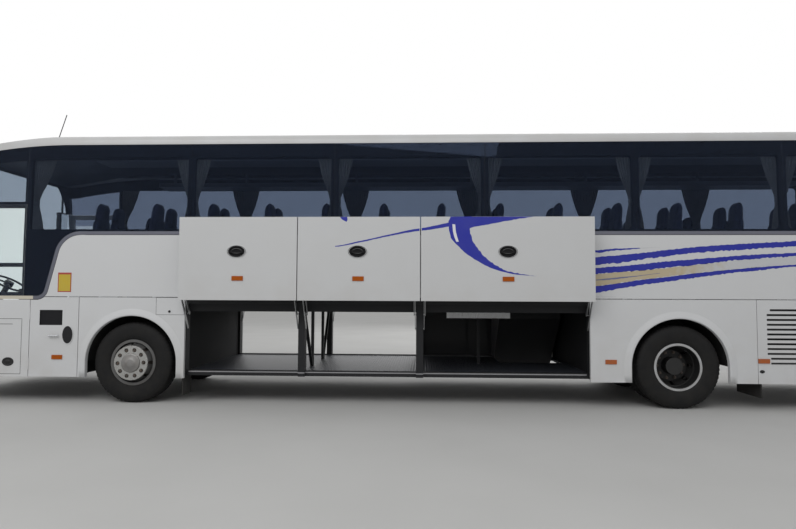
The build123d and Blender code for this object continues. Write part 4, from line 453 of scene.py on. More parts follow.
stripe("thin_line_past_second_door", ((0.062, 2.242, 2.208), (0.25, 2.277, 2.235), (0.43, 2.313, 2.262)),
       blue,
       (("left", "luggage_door_left_3", -1, RAISED_Y, 0.0, 0.06, 2.0, 0.0, ABOVE_ALL_Z),
        ("right", "coach_body", 1, SIDE_Y, DOOR_RISE, 0.06, 2.0, 0.0, ABOVE_ALL_Z)), torn=0.002,
       proud=0.5 * DECAL_PROUD)


def resampled(line, count):
    """Points at even steps along a polyline."""
    lengths = [0.0]
    for first, second in zip(line[:-1], line[1:]):
        lengths.append(lengths[-1] + sqrt((second[0] - first[0]) ** 2 + (second[1] - first[1]) ** 2))
    spaced = []
    index = 0
    for step in range(count + 1):
        reach = lengths[-1] * step / count
        while index < len(line) - 2 and lengths[index + 1] < reach:
            index += 1
        t = (reach - lengths[index]) / (lengths[index + 1] - lengths[index])
        spaced.append(tuple(a + (b - a) * t for a, b in zip(line[index], line[index + 1])))
    return spaced


def band_decal(name, first, second, material, places, count=48, torn=0.0, proud=DECAL_PROUD):
    """Band between two lines; each place gives limits in x, so that a shape can run over two bodies."""
    dice = random.Random(name)
    for word, body, side, face_y, drop, low_x, high_x in places:
        mesh = bmesh.new()
        rows = []
        for one, other in zip(resampled(first, count), resampled(second, count)):
            thick = sqrt((one[0] - other[0]) ** 2 + (one[1] - other[1]) ** 2)
            rough = min(torn, BAND_TORN_SHARE * thick)
            near = mesh.verts.new((one[0] + dice.uniform(-rough, rough), 0, one[1]))
            far = mesh.verts.new((other[0] + dice.uniform(-rough, rough), 0,
                                  other[1] + dice.uniform(-rough, rough)))
            rows.append((near, far))
        for (a, b), (c, d) in zip(rows[:-1], rows[1:]):
            mesh.faces.new((a, b, d, c))
        for edge_x, away in ((low_x, -1), (high_x, 1)):
            bmesh.ops.bisect_plane(mesh, geom=mesh.verts[:] + mesh.edges[:] + mesh.faces[:],
                                   plane_co=(edge_x, 0, 0), plane_no=(away, 0, 0), clear_outer=True)
        mesh.verts.index_update()
        mesh.normal_update()
        points = [(vert.co.x, vert.co.z) for vert in mesh.verts]
        faces = []
        for part in mesh.faces:
            loop = tuple(vert.index for vert in part.verts)
            faces.append(loop if part.normal.y < 0 else loop[::-1])
        mesh.free()
        decal(f"{name}_{word}", points, faces, material, body, side, face_y, drop, proud)


ON_THIRD = (("left", "luggage_door_left_3", -1, RAISED_Y, 0.0, 0.06, 2.17),
            ("right", "coach_body", 1, SIDE_Y, DOOR_RISE, 0.06, MIDDLE_DOOR_X - BODY_MARGIN),
            ("right_door", "middle_door", 1, SIDE_Y, DOOR_RISE, MIDDLE_DOOR_X + DOOR_MARGIN, 2.1))
ON_SECOND = (("left", "luggage_door_left_2", -1, RAISED_Y, 0.0, -1.4, 0.0),
             ("right", "luggage_door_right_2", 1, RAISED_Y, 0.0, -1.4, 0.0))
CRESCENT_TOP = 2.381
CRESCENT_OUTER = ((0.423, CRESCENT_TOP), (0.4, 2.345), (0.391, 2.285), (0.396, 2.21), (0.411, 2.15),
                  (0.437, 2.1), (0.475, 2.05), (0.534, 1.995), (0.61, 1.925), (0.69, 1.868), (0.8, 1.803),
                  (0.92, 1.745), (1.05, 1.704), (1.2, 1.671), (1.46, 1.65))
CRESCENT_INNER = ((0.672, CRESCENT_TOP), (0.662, 2.3), (0.655, 2.235), (0.657, 2.19), (0.673, 2.13),
                  (0.7, 2.065), (0.742, 2.002), (0.8, 1.925), (0.87, 1.855), (0.94, 1.802), (1.021, 1.752),
                  (1.1, 1.714), (1.191, 1.693), (1.3, 1.672), (1.461, 1.651))
CRESCENT_ARM = ((0.655, 2.24), (0.7, 2.255), (0.8, 2.27), (0.901, 2.289), (1.0, 2.309), (1.073, 2.323),
                (1.17, 2.34), (1.268, 2.357), (1.426, CRESCENT_TOP - 0.001))
band_decal("crescent", CRESCENT_OUTER, CRESCENT_INNER, blue, ON_THIRD, torn=0.006)
band_decal("crescent_arm", ((0.655, CRESCENT_TOP), (1.43, CRESCENT_TOP)), CRESCENT_ARM, blue, ON_THIRD,
           torn=0.003, proud=0.5 * DECAL_PROUD)
white_vinyl = finish_of("white vinyl", (0.72, 0.73, 0.75), ROAD_DUST, everywhere=0.05, roughness=0.4)
band_decal("white_sliver", ((0.44, 2.29), (0.447, 2.2), (0.462, 2.135), (0.489, 2.07)),
           ((0.475, 2.286), (0.482, 2.2), (0.5, 2.13), (0.518, 2.074)), white_vinyl, ON_THIRD[:2], count=12,
           proud=2 * DECAL_PROUD)
band_decal("small_blue_shard", ((-0.953, 2.381), (-0.93, 2.35), (-0.873, 2.32)),
           ((-0.863, 2.381), (-0.858, 2.345), (-0.871, 2.321)), blue, ON_SECOND, count=8)

# Luggage doors: aluminium sheet on a folded border, hung on parallel links that lift them clear of the side.
# Each has a recessed pull handle in black plastic and an amber side marker.
LUGGAGE_DOORS = ((1, -2.248, -2.233), (2, -0.731, -0.723), (3, 1.120, 1.124))
HANDLE_Z = 1.9495
MARKER_Z = 1.6135
HANDLE_HALF = (0.1225, 0.0775)
HANDLE_EDGE = 0.002
HANDLE_BLACK = (0.005, 0.005, 0.006)
MARKER_HALF = (0.071, 0.0285)
MARKER_AMBER = (0.4, 0.085, 0.003)
MARKER_RIBS = 24
BAR_SIDES = 8
MERGE_DISTANCE = 0.00001
door_paint = finish_of("white door paint", (0.575, 0.582, 0.588), ROAD_DUST, everywhere=0.05, low=0.22,
                       band=(1.34, 1.7), roughness=0.32, shine=0.15)
for number, handle_x, marker_x in LUGGAGE_DOORS:
    half_x, half_z = HANDLE_HALF[0] + HANDLE_EDGE, HANDLE_HALF[1] + HANDLE_EDGE
    spots(door_paint, HANDLE_BLACK, [("ellipse", (handle_x - half_x, -3, HANDLE_Z - half_z),
                                      (handle_x + half_x, 3, HANDLE_Z + half_z))], roughness=0.6)
    half_x, half_z = MARKER_HALF
    spots(door_paint, MARKER_AMBER, [("box", (marker_x - half_x, -3, MARKER_Z - half_z),
                                      (marker_x + half_x, 3, MARKER_Z + half_z))], roughness=0.3,
          ribs=MARKER_RIBS)
grip_plastic = finish_of("handle plastic", (0.012, 0.012, 0.013), (0.05, 0.05, 0.048), everywhere=0.2,
                         low=0.2, scale=30, roughness=0.5, grain=0.3, shine=0.3)
grip_edge = finish_of("worn grip plastic", (0.06, 0.06, 0.062), (0.14, 0.14, 0.135), everywhere=0.4, low=0.4,
                      scale=40, roughness=0.4, grain=0.3)


def turn_angles(sides):
    return [2 * pi * step / sides for step in range(sides)]


def quads(rows, columns, base=0, rows_join=False, columns_join=False):
    """Faces between rows of points; the last row or column can join the first."""
    faces = []
    for row in range(rows if rows_join else rows - 1):
        near, far = base + row * columns, base + (row + 1) % rows * columns
        for column in range(columns if columns_join else columns - 1):
            after = (column + 1) % columns
            faces.append((near + column, near + after, far + after, far + column))
    return faces


def shell(name, points, faces, material, smooth=True):
    """Mesh object with its doubles merged and its faces turned outwards."""
    thing = mesh_object(name, points, faces, material, smooth)
    mesh = bmesh.new()
    mesh.from_mesh(thing.data)
    bmesh.ops.remove_doubles(mesh, verts=mesh.verts, dist=MERGE_DISTANCE)
    bmesh.ops.recalc_face_normals(mesh, faces=mesh.faces)
    mesh.to_mesh(thing.data)
    mesh.free()
    return thing


def closed_bar(name, outline, radius, material):
    """Round bar run round a closed outline of (x, z) points, in the plane y = 0."""
    points = []
    count = len(outline)
    for index, (x, z) in enumerate(outline):
        before, after = outline[index - 1], outline[(index + 1) % count]
        along = Vector((after[0] - before[0], 0, after[1] - before[1])).normalized()
        for angle in turn_angles(BAR_SIDES):
            out = radius * cos(angle)
            points.append((x + along.z * out, -radius * sin(angle), z - along.x * out))
    return shell(name, points, quads(count, BAR_SIDES, rows_join=True, columns_join=True), material)


def put(thing, x=0.0, y=0.0, z=0.0, side=-1):
    """Moves a part built on the left; side 1 turns it over to the right."""
    thing.data.transform(Matrix.Translation((x, y, z)))
    if side > 0:
        thing.data.transform(Matrix.Scale(-1, 4, (0, 1, 0)))
        thing.data.flip_normals()


def oval(half_x, half_z, sides=40, foot=1.0):
    """Oval outline, flattened below its middle where foot is under 1."""
    return [(half_x * cos(angle), half_z * sin(angle) * (1.0 if sin(angle) > 0 else foot))
            for angle in turn_angles(sides)]


for side, word in ((-1, "left"), (1, "right")):
    for number, handle_x, marker_x in LUGGAGE_DOORS:
        body = f"luggage_door_{word}_{number}"
        if body not in frame["bodies"]:
            continue
        dress(door_paint, body)
        rim = closed_bar(f"handle_rim_{word}_{number}", oval(HANDLE_HALF[0] * 0.94, HANDLE_HALF[1] * 0.92),
                         0.004, grip_plastic)
        put(rim, handle_x, -(RAISED_Y + 0.0055), HANDLE_Z, side)
        grip = closed_bar(f"handle_grip_{word}_{number}", oval(0.066, 0.036, foot=0.62), 0.0042, grip_edge)
        put(grip, handle_x, -(RAISED_Y + 0.004), HANDLE_Z, side)
        for thing in (rim, grip):
            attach(thing, body)

# Locker door under the driver's window: white sheet with a black air vent, a chromed bow handle,
# an oval lock and an amber marker.
LOCKER_VENT = ("box", (-4.931, -1.3, 1.004), (-4.625, -1.2625, 1.201))
LOCKER_BOW = ("box", (-4.82, -1.4, 0.84), (-4.63, -1.2755, 0.9))
LOCKER_LOCK = ("ellipse", (-4.6235, -3.0, 0.755), (-4.4705, 3.0, 1.005))
LOCKER_MARKER = ("box", (-4.7505, -1.4, 0.562), (-4.6095, -1.2755, 0.618))
LOCK_AT = (-4.547, 0.88)
CHROME = (0.6, 0.61, 0.63)
locker_paint = finish_of("white locker paint", PAINT_WHITE, ROAD_DUST, everywhere=0.05, low=0.32,
                         roughness=0.32, shine=0.15)
spots(locker_paint, (0.012, 0.012, 0.014), [LOCKER_VENT], roughness=0.6)
spots(locker_paint, CHROME, [LOCKER_BOW], roughness=0.18, metallic=0.9)
spots(locker_paint, (0.02, 0.02, 0.022), [LOCKER_LOCK], roughness=0.4)
lock_rim = closed_bar("locker_lock_rim", oval(0.068, 0.115), 0.004, grip_plastic)
put(lock_rim, LOCK_AT[0], -(SIDE_Y + 0.002), LOCK_AT[1])
lock_grip = closed_bar("locker_lock_grip", oval(0.026, 0.062), 0.0045, grip_edge)
put(lock_grip, LOCK_AT[0], -(SIDE_Y + 0.001), LOCK_AT[1])
for thing in (lock_rim, lock_grip):
    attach(thing, "locker_door")
spots(locker_paint, MARKER_AMBER, [LOCKER_MARKER], roughness=0.3, ribs=MARKER_RIBS)
dress(locker_paint, "locker_door")

# Service hatches and locks: flush flaps in the skirt, each with a rubber seam and a black plastic lock.
# The passenger doors have the same locks.
# A plain yellow plate with a red edge is stuck behind the driver's window.
SEAM = 0.005
FLAP_SEAM = 0.004
FRONT_HATCH = (-5.96, 0.366, -5.165, 1.087)
FRONT_HATCH_STEP = (-5.84, 1.012, -5.29, 1.018)
FILLER_FLAP = (-3.384, 1.145, -3.012, 1.372)
PLATE_EDGE = (-4.702, 1.436, -4.521, 1.691)
PLATE_FACE = (-4.69, 1.449, -4.533, 1.666)
LOCK_SIDES = 28
LOCK_LEVELS = ((1.0, 0.0), (1.0, 0.004), (0.9, 0.007), (0.8, 0.0065), (0.72, 0.003), (0.34, 0.003),
               (0.28, 0.0065), (0.2, 0.007))
DOOR_LOCK_HALF = (0.05, 0.075)
seam_rubber = finish_of("seam rubber", (0.03, 0.03, 0.032), (0.1, 0.095, 0.09), everywhere=0.3, low=0.3,
                        scale=20, roughness=0.8)


def flat_strips(name, boxes, material, side, proud=DECAL_PROUD):
    """Thin strips on a side, each given as (x low, z low, x high, z high)."""
    points = []
    faces = []
    for x0, z0, x1, z1 in boxes:
        base = len(points)
        points += [(x0, z0), (x1, z0), (x1, z1), (x0, z1)]
        faces.append((base, base + 1, base + 2, base + 3))
    decal(name, points, faces, material, "coach_body", side, SIDE_Y, proud=proud)


def seam_round(x0, z0, x1, z1, wide=SEAM):
    return [(x0, z0, x1, z0 + wide), (x0, z1 - wide, x1, z1), (x0, z0 + wide, x0 + wide, z1 - wide),
            (x1 - wide, z0 + wide, x1, z1 - wide)]


def lock_boss(name, x, z, half_x, half_z, side, body="coach_body"):
    """Oval plastic lock: a raised rim round a sunk middle with a thumb ridge across it."""
    points = [(x + px * scale, side * (SIDE_Y + out), z + pz * scale)
              for scale, out in LOCK_LEVELS for px, pz in oval(half_x, half_z, sides=LOCK_SIDES)]
    faces = quads(len(LOCK_LEVELS), LOCK_SIDES, columns_join=True)
    faces.append(tuple(range(len(points) - LOCK_SIDES, len(points))))
    boss = shell(name, points, faces, grip_plastic)
    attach(boss, body)


flat_strips("front_hatch_seam", seam_round(*FRONT_HATCH), seam_rubber, -1)
flat_strips("front_hatch_step", [FRONT_HATCH_STEP], seam_rubber, -1)
lock_boss("front_hatch_lock", -5.337, 0.526, 0.078, 0.056, -1)
lock_boss("rear_hatch_lock", 4.279, 0.484, 0.03, 0.02, -1)
for side, word in ((-1, "left"), (1, "right")):
    flat_strips(f"filler_flap_seam_{word}", seam_round(*FILLER_FLAP, FLAP_SEAM), seam_rubber, side)
    lock_boss(f"filler_flap_lock_{word}", -3.205, 1.189, 0.016, 0.016, side)
lock_boss("front_door_lock", -5.285, 1.08, *DOOR_LOCK_HALF, 1, "front_door")
lock_boss("middle_door_lock", 2.03, 1.0, *DOOR_LOCK_HALF, 1, "middle_door")
plate_yellow = finish_of("yellow plate", (0.52, 0.38, 0.03), (0.42, 0.34, 0.1), everywhere=0.25, low=0.25,
                         scale=15, roughness=0.45)
plate_red = finish_of("red plate edge", (0.36, 0.04, 0.03), (0.32, 0.1, 0.08), everywhere=0.25, low=0.25,
                      scale=15, roughness=0.45)
flat_strips("blank_plate_edge", [PLATE_EDGE], plate_red, -1)
flat_strips("blank_plate", [PLATE_FACE], plate_yellow, -1, proud=2 * DECAL_PROUD)

# Wipers: two black painted arms with sprung rubber blades.
# They are hung low on the windscreen and parked across it.
WIPER_PIVOTS = (0.98, 0.02)
WIPER_Z = 1.36
WIPER_BLADE = 0.86
ARM_SHARE = 0.62
ARM_RISE = 0.06
BLADE_START = (-0.1, 0.055)
BLADE_RISE = 0.012
KNOB_OUT, ARM_OUT, BLADE_OUT = 0.022, 0.019, 0.0085


def on_glass(y, z, proud):
    """Point off the windscreen's outer face."""
    _, where, normal, _ = nodes["windscreen"].ray_cast(Vector((-9, y, z)), Vector((1, 0, 0)))
    return where + normal * proud


def bar_along(points, faces, line, radii, sides=8):
    """Adds a round bar through a line of points, with its own radius at each."""
    base = len(points)
    for index, spot in enumerate(line):
        along = (line[min(index + 1, len(line) - 1)] - line[max(index - 1, 0)]).normalized()
        across = along.cross(Vector((1, 0, 0))).normalized()
        up = across.cross(along)
        for angle in turn_angles(sides):
            points.append(tuple(spot + (across * cos(angle) + up * sin(angle)) * radii[index]))
    faces += quads(len(line), sides, base, columns_join=True)
    for end in (base, len(points) - sides):
        faces.append(tuple(range(end, end + sides)))


wiper_points = []
wiper_faces = []
for pivot_y in WIPER_PIVOTS:
    knob = [on_glass(pivot_y, WIPER_Z, out) for out in (0.001, KNOB_OUT)]
    bar_along(wiper_points, wiper_faces, knob, [0.02, 0.016], sides=14)
    arm = [on_glass(pivot_y - t * WIPER_BLADE * ARM_SHARE, WIPER_Z + ARM_RISE * t, ARM_OUT)
           for t in (0, 0.1, 0.5, 0.9, 1.0)]
    bar_along(wiper_points, wiper_faces, arm, [0.012, 0.011, 0.0075, 0.006, 0.005])
    blade = [on_glass(pivot_y + BLADE_START[0] - t * WIPER_BLADE, WIPER_Z + BLADE_START[1] + BLADE_RISE * t,
                      BLADE_OUT)
             for t in (0, 0.25, 0.5, 0.75, 1)]
    bar_along(wiper_points, wiper_faces, blade, [0.0055, 0.008, 0.0085, 0.008, 0.0055])
wipers = shell("wipers", wiper_points, wiper_faces, grip_plastic)
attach(wipers, "coach_body")

# Lamps: moulded lenses let into the skin: clear ahead, amber at the sides, red, amber and clear behind,
# and a frosted strip that lights the luggage hold.
SIDE_MARKERS = ("box", (1.5, -1.5, 0.5), (5.0, 1.5, 0.7))
REAR_TURN_LAMPS = ("box", (6.2, -1.3, 0.71), (6.8, 1.3, 0.87))
TAIL_LAMPS = ("box", (6.2, -1.3, 0.87), (6.8, 1.3, 1.3))
REVERSING_LAMPS = ("box", (6.2, -1.3, 0.5), (6.8, 1.3, 0.71))
HOLD_STRIP = ("box", (0.4, -0.1, 1.0), (1.4, 0.1, 1.2))
TAIL_RED = (0.45, 0.01, 0.012)
HEAD_LAMPS_Y = ((0.64, 0.88), (0.9, 1.12))
HEAD_LAMP_MIDDLE_Z = 0.72
HEAD_LAMP_HALF_Z = 0.09
HEAD_LAMP_RINGS = ((0.072, (0.6, 0.61, 0.62)), (0.06, (0.3, 0.31, 0.32)), (0.034, (0.8, 0.81, 0.82)))
lens = finish_of("lamp lenses", (0.72, 0.73, 0.74), (0.4, 0.38, 0.34), everywhere=0.1, low=0.2,
                 roughness=0.12, coat=0.5)
spots(lens, MARKER_AMBER, [SIDE_MARKERS, REAR_TURN_LAMPS], roughness=0.3, ribs=MARKER_RIBS)
spots(lens, TAIL_RED, [TAIL_LAMPS], roughness=0.15)
spots(lens, (0.36, 0.37, 0.4), [REVERSING_LAMPS], roughness=0.15, ribs=24)
# The hold strip is a frosted white lens, brightened to near white as painted light standing in for sunlight
# on it.
spots(lens, (0.95, 0.96, 0.97), [HOLD_STRIP], roughness=0.3, ribs=12)
for side in (-1, 1):
    for low_y, high_y in HEAD_LAMPS_Y:
        ends = sorted((side * low_y, side * high_y))
        middle = (ends[0] + ends[1]) / 2
        surround = ("box", (-6.7, ends[0], HEAD_LAMP_MIDDLE_Z - HEAD_LAMP_HALF_Z),
                    (-6.2, ends[1], HEAD_LAMP_MIDDLE_Z + HEAD_LAMP_HALF_Z))
        spots(lens, (0.16, 0.165, 0.175), [surround], roughness=0.12, metallic=0.3)
        for reach, tone in HEAD_LAMP_RINGS:
            spots(lens, tone, [("ellipse", (-60, middle - reach, HEAD_LAMP_MIDDLE_Z - reach),
                                (50, middle + reach, HEAD_LAMP_MIDDLE_Z + reach))], roughness=0.1,
                  metallic=0.4)
dress(lens, "lamps")

# Tyres: radial truck tyres with four grooves, cross-cut shoulder blocks and plain walls.
# The front ones are single and the rear ones are twins on one hub.
TYRE_RADIUS = 0.522
TYRE_MIDDLE_Y = 1.09
TWIN_PITCH = 0.33
FRONT_AXLE_X = -3.7
REAR_AXLE_X = 3.286
TREAD_PITCHES = 62
GROOVE_DEPTH = 0.012
rubber = finish_of("tyre rubber", (0.01, 0.01, 0.0105), (0.036, 0.033, 0.029), everywhere=0.2, low=0.4,
                   band=(0.0, 1.0), scale=9, roughness=0.7, grain=0.4, shine=0.2)


def tyre_section():
    """Half section from the middle out: (distance from the middle plane, radius, groove depth at a cut)."""
    section = []
    for start, end in ((0.0, 0.024), (0.033, 0.062), (0.071, 0.1)):
        section.append((start, TYRE_RADIUS - start**2 * 0.25, 0.0))
        section.append((end, TYRE_RADIUS - end**2 * 0.25, 0.0 if end < 0.09 else 0.007))
        if end < 0.09:
            section.append((end + 0.0015, TYRE_RADIUS - GROOVE_DEPTH, 0.0))
            section.append((end + 0.0075, TYRE_RADIUS - GROOVE_DEPTH, 0.0))
    section += [(0.113, 0.5125, 0.009), (0.124, 0.503, 0.008), (0.129, 0.49, 0.0), (0.1345, 0.476, 0.0),
                (0.1375, 0.471, 0.0), (0.1425, 0.445, 0.0), (0.1445, 0.415, 0.0), (0.1435, 0.385, 0.0),
                (0.139, 0.352, 0.0), (0.1345, 0.332, 0.0), (0.1325, 0.3275, 0.0), (0.128, 0.314, 0.0),
                (0.121, 0.3035, 0.0), (0.112, 0.2975, 0.0), (0.104, 0.29, 0.0)]
    return section


def tyre_mesh(name, centre_x, centre_ys):
    half = tyre_section()
    full = [(-y, r, cut) for y, r, cut in half[:0:-1]] + half
    steps = TREAD_PITCHES * 3
    points = []
    faces = []
    for centre_y in centre_ys:
        faces += quads(steps, len(full), len(points), rows_join=True)
        for step, angle in enumerate(turn_angles(steps)):
            for y, r, cut in full:
                depth = cut if step % 3 == (0 if y < 0 else 1) else 0.0
                points.append((centre_x + (r - depth) * cos(angle), centre_y + y,
                               TYRE_RADIUS + (r - depth) * sin(angle)))
    return shell(name, points, faces, rubber)


for side, word in ((-1, "left"), (1, "right")):
    for axle, axle_x, ys in (("front", FRONT_AXLE_X, (TYRE_MIDDLE_Y,)),
                             ("rear", REAR_AXLE_X, (TYRE_MIDDLE_Y, TYRE_MIDDLE_Y - TWIN_PITCH))):
        tyre = tyre_mesh(f"treaded_tyre_{axle}_{word}", axle_x, [side * y for y in ys])
        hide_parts(f"tyre_{axle}_{word}")
        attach(tyre, f"front_wheel_{word}" if axle == "front" else f"rear_wheels_{word}")

# Wheels: pressed and rolled steel, sprayed silver, held by ten nuts. The rear ones are dished deep inside the
# twin tyres, and their dish is painted near-black as painted shade. The front ones bow outwards, under a
# polished guard ring for the nuts and a domed hub cap; their silver is toned dark grey as painted shade of
# the arch.
# The front wheels' silver is darkened to a dark grey: painted shade of the wheel arch.
silver_in_arch_shade = finish_of("wheel silver", (0.12, 0.12, 0.12), (0.06, 0.05, 0.04), everywhere=0.35, low=0.5,
                         band=(0.2, 0.9), scale=12, roughness=0.38, metallic=0.35)
nut_steel = finish_of("wheel nut steel", (0.09, 0.085, 0.08), (0.25, 0.14, 0.08), everywhere=0.4, low=0.4,
                      scale=60, roughness=0.5, metallic=0.6)
cap_steel = finish_of("hub cap steel", (0.26, 0.255, 0.25), (0.12, 0.1, 0.08), everywhere=0.35, low=0.35,
                      band=(0.2, 0.9), scale=14, roughness=0.3, metallic=0.8)
guard_steel = finish_of("guard ring steel", (0.42, 0.42, 0.41), (0.2, 0.17, 0.14), everywhere=0.3, low=0.3,
                        band=(0.2, 0.9), scale=18, roughness=0.25, metallic=0.85)
rear_silver = finish_of("rear wheel silver", (0.45, 0.46, 0.47), (0.16, 0.13, 0.1), everywhere=0.3, low=0.45,
                        band=(0.2, 0.9), scale=12, roughness=0.35, metallic=0.4)
# The dish of each rear wheel, within 0.27 of the axle, is painted near-black: painted shade of the recess.
spots(rear_silver, (0.007, 0.007, 0.007), [("ellipse", (REAR_AXLE_X - 0.27, -60, TYRE_RADIUS - 0.27),
                                            (REAR_AXLE_X + 0.27, 60, TYRE_RADIUS + 0.27))], roughness=0.6)
NUT_COUNT = 10
NUT_CIRCLE = 0.1675
NUT_TURN = radians(2)
NUT_ACROSS = 0.033
NUT_LAYERS = ((16, 0.64, 0.005, 0.0025), (6, 0.56, 0.022, 0.013), (12, 0.29, 0.034, 0.018))


def nut_tree():
    """Ring of nuts: each a washer, a six-sided nut and the end of its stud, standing up along Z."""
    tree = bpy.data.node_groups.new("Ring of wheel nuts", "GeometryNodeTree")
    add_socket(tree, "Geometry", "NodeSocketGeometry", output=True)
    for name, kind in (("Count", "NodeSocketInt"), ("Circle", "NodeSocketFloat"),
                       ("Across", "NodeSocketFloat"), ("Finish", "NodeSocketMaterial")):
        add_socket(tree, name, kind)
    given = tree.nodes.new("NodeGroupInput").outputs
    joined = add_node(tree, "GeometryNodeJoinGeometry")
    for sides, wide, tall, lift in NUT_LAYERS:
        radius = reckon(tree, "MULTIPLY", given["Across"], wide)
        turned = add_node(tree, "GeometryNodeMeshCylinder",
                          {"Vertices": sides, "Depth": tall, "Radius": radius})
        raised = add_node(tree, "GeometryNodeTransform", {"Translation": (0, 0, lift),
                                                          "Geometry": turned.outputs["Mesh"]})
        tree.links.new(raised.outputs["Geometry"], joined.inputs["Geometry"])
    circle = add_node(tree, "GeometryNodeMeshCircle", {"Vertices": given["Count"], "Radius": given["Circle"]})
    placed = add_node(tree, "GeometryNodeInstanceOnPoints", {"Points": circle.outputs["Mesh"],
                                                             "Instance": joined.outputs["Geometry"]})
    real = add_node(tree, "GeometryNodeRealizeInstances", {"Geometry": placed.outputs["Instances"]})
    coated = add_node(tree, "GeometryNodeSetMaterial", {"Geometry": real.outputs["Geometry"],
                                                        "Material": given["Finish"]})
    add_node(tree, "NodeGroupOutput", {"Geometry": coated.outputs["Geometry"]})
    return tree


NUTS = nut_tree()


def ring_of_nuts(name, place):
    """Ring of nuts as a plain mesh, moved to its place."""
    seed = mesh_object(name, [(0, 0, 0)], [], nut_steel)
    modifier = seed.modifiers.new("nuts", "NODES")
    modifier.node_group = NUTS
    for socket in NUTS.interface.items_tree:
        if socket.in_out == "INPUT":
            modifier[socket.identifier] = {"Count": NUT_COUNT, "Circle": NUT_CIRCLE, "Across": NUT_ACROSS,
                                           "Finish": nut_steel}[socket.name]
    graph = bpy.context.evaluated_depsgraph_get()
    plain = bpy.data.meshes.new_from_object(seed.evaluated_get(graph))
    seed.modifiers.clear()
    plain.transform(place)
    seed.data = plain
    return seed


for side, word in ((-1, "left"), (1, "right")):
    for axle, axle_x, face_y in (("front", FRONT_AXLE_X, 1.255), ("rear", REAR_AXLE_X, 0.941)):
        body = f"front_wheel_{word}" if axle == "front" else f"rear_wheels_{word}"
        dress(silver_in_arch_shade if axle == "front" else rear_silver, f"wheel_{axle}_{word}")
        place = (Matrix.Translation((axle_x, side * face_y, TYRE_RADIUS))
                 @ Matrix.Rotation(side * -pi / 2, 4, "X") @ Matrix.Rotation(side * -NUT_TURN, 4, "Z"))
        nuts = ring_of_nuts(f"wheel_nuts_{axle}_{word}", place)
        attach(nuts, body)

GUARD_Y = 1.279
GUARD_INNER = 0.124
GUARD_OUTER = 0.22
GUARD_CIRCLE = 0.1715
GUARD_HOLE = 0.0265
HOLE_SIDES = 16
HOLE_DEPTHS = (0.0, 0.006, 0.016)
RIM_SIDES = 80
RIM_SECTION = ((0.0, GUARD_OUTER), (-0.004, GUARD_OUTER + 0.004), (-0.012, GUARD_OUTER + 0.005),
               (-0.024, GUARD_OUTER + 0.002))


def guard_ring(name, side):
    """Flat ring with ten turned-in holes and a rolled outer edge."""
    points = []
    faces = []
    stride = len(HOLE_DEPTHS) + 1
    for number in range(NUT_COUNT):
        middle = 2 * pi * number / NUT_COUNT + NUT_TURN
        wedge = pi / NUT_COUNT
        base = len(points)
        for turn in turn_angles(HOLE_SIDES):
            along, across = cos(turn), sin(turn)
            square = max(abs(along), abs(across))
            width = GUARD_OUTER - GUARD_CIRCLE if along > 0 else GUARD_CIRCLE - GUARD_INNER
            radius = GUARD_CIRCLE + width * along / square
            angle = middle + wedge * across / square
            points.append((radius * cos(angle), 0.0, radius * sin(angle)))
            hole_x = GUARD_CIRCLE + GUARD_HOLE * along
            hole_z = GUARD_HOLE * across
            for depth in HOLE_DEPTHS:
                points.append((hole_x * cos(middle) - hole_z * sin(middle), -depth,
                               hole_x * sin(middle) + hole_z * cos(middle)))
        faces += quads(HOLE_SIDES, stride, base, rows_join=True)
    base = len(points)
    for angle in turn_angles(RIM_SIDES):
        for depth, radius in RIM_SECTION:
            points.append((radius * cos(angle), depth, radius * sin(angle)))
    faces += quads(RIM_SIDES, len(RIM_SECTION), base, rows_join=True)
    placed = [(FRONT_AXLE_X + x, side * (GUARD_Y + y), TYRE_RADIUS + z) for x, y, z in points]
    return shell(name, placed, faces, guard_steel, smooth=False)


TURNED_SIDES = 56
DRUM_PROFILE = ((1.03, 0.112), (1.03, 0.222), (1.036, 0.228), (1.115, 0.228), (1.12, 0.222), (1.186, 0.202),
                (1.19, 0.196), (1.19, 0.112))
CAP_PROFILE = ((1.2565, 0.1235), (1.283, 0.123), (1.2895, 0.121), (1.2925, 0.116), (1.2935, 0.108),
               (1.2935, 0.06), (1.2965, 0.054), (1.2975, 0.046), (1.2975, 0.0005))


def turned_piece(name, profile, side, material):
    """Piece turned about the front axle from (distance off the centre plane, radius) points."""
    points = [(FRONT_AXLE_X + radius * cos(angle), side * y, TYRE_RADIUS + radius * sin(angle))
              for angle in turn_angles(TURNED_SIDES) for y, radius in profile]
    return shell(name, points, quads(TURNED_SIDES, len(profile), rows_join=True), material)


for side, word in ((-1, "left"), (1, "right")):
    ring = guard_ring(f"nut_guard_{word}", side)
    cap = turned_piece(f"hub_cap_{word}", CAP_PROFILE, side, cap_steel)
    drum = turned_piece(f"brake_drum_{word}", DRUM_PROFILE, side, nut_steel)
    for thing in (ring, cap, drum):
        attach(thing, f"front_wheel_{word}")

# Wheel arch flares: moulded white lips bonded round each arch.
# Their outer edges taper off into the panels.
ARCH_Z = 0.532
ARCH_INNER = 0.599
ARCH_STEPS = 40
SKIRT_Z = 0.335
FLARE_SECTION = ((0.0, -0.02), (0.0, 0.012), (0.004, 0.0165), (0.012, 0.018), (0.03, 0.0145), (0.058, 0.0085),
                 (0.092, 0.0006))


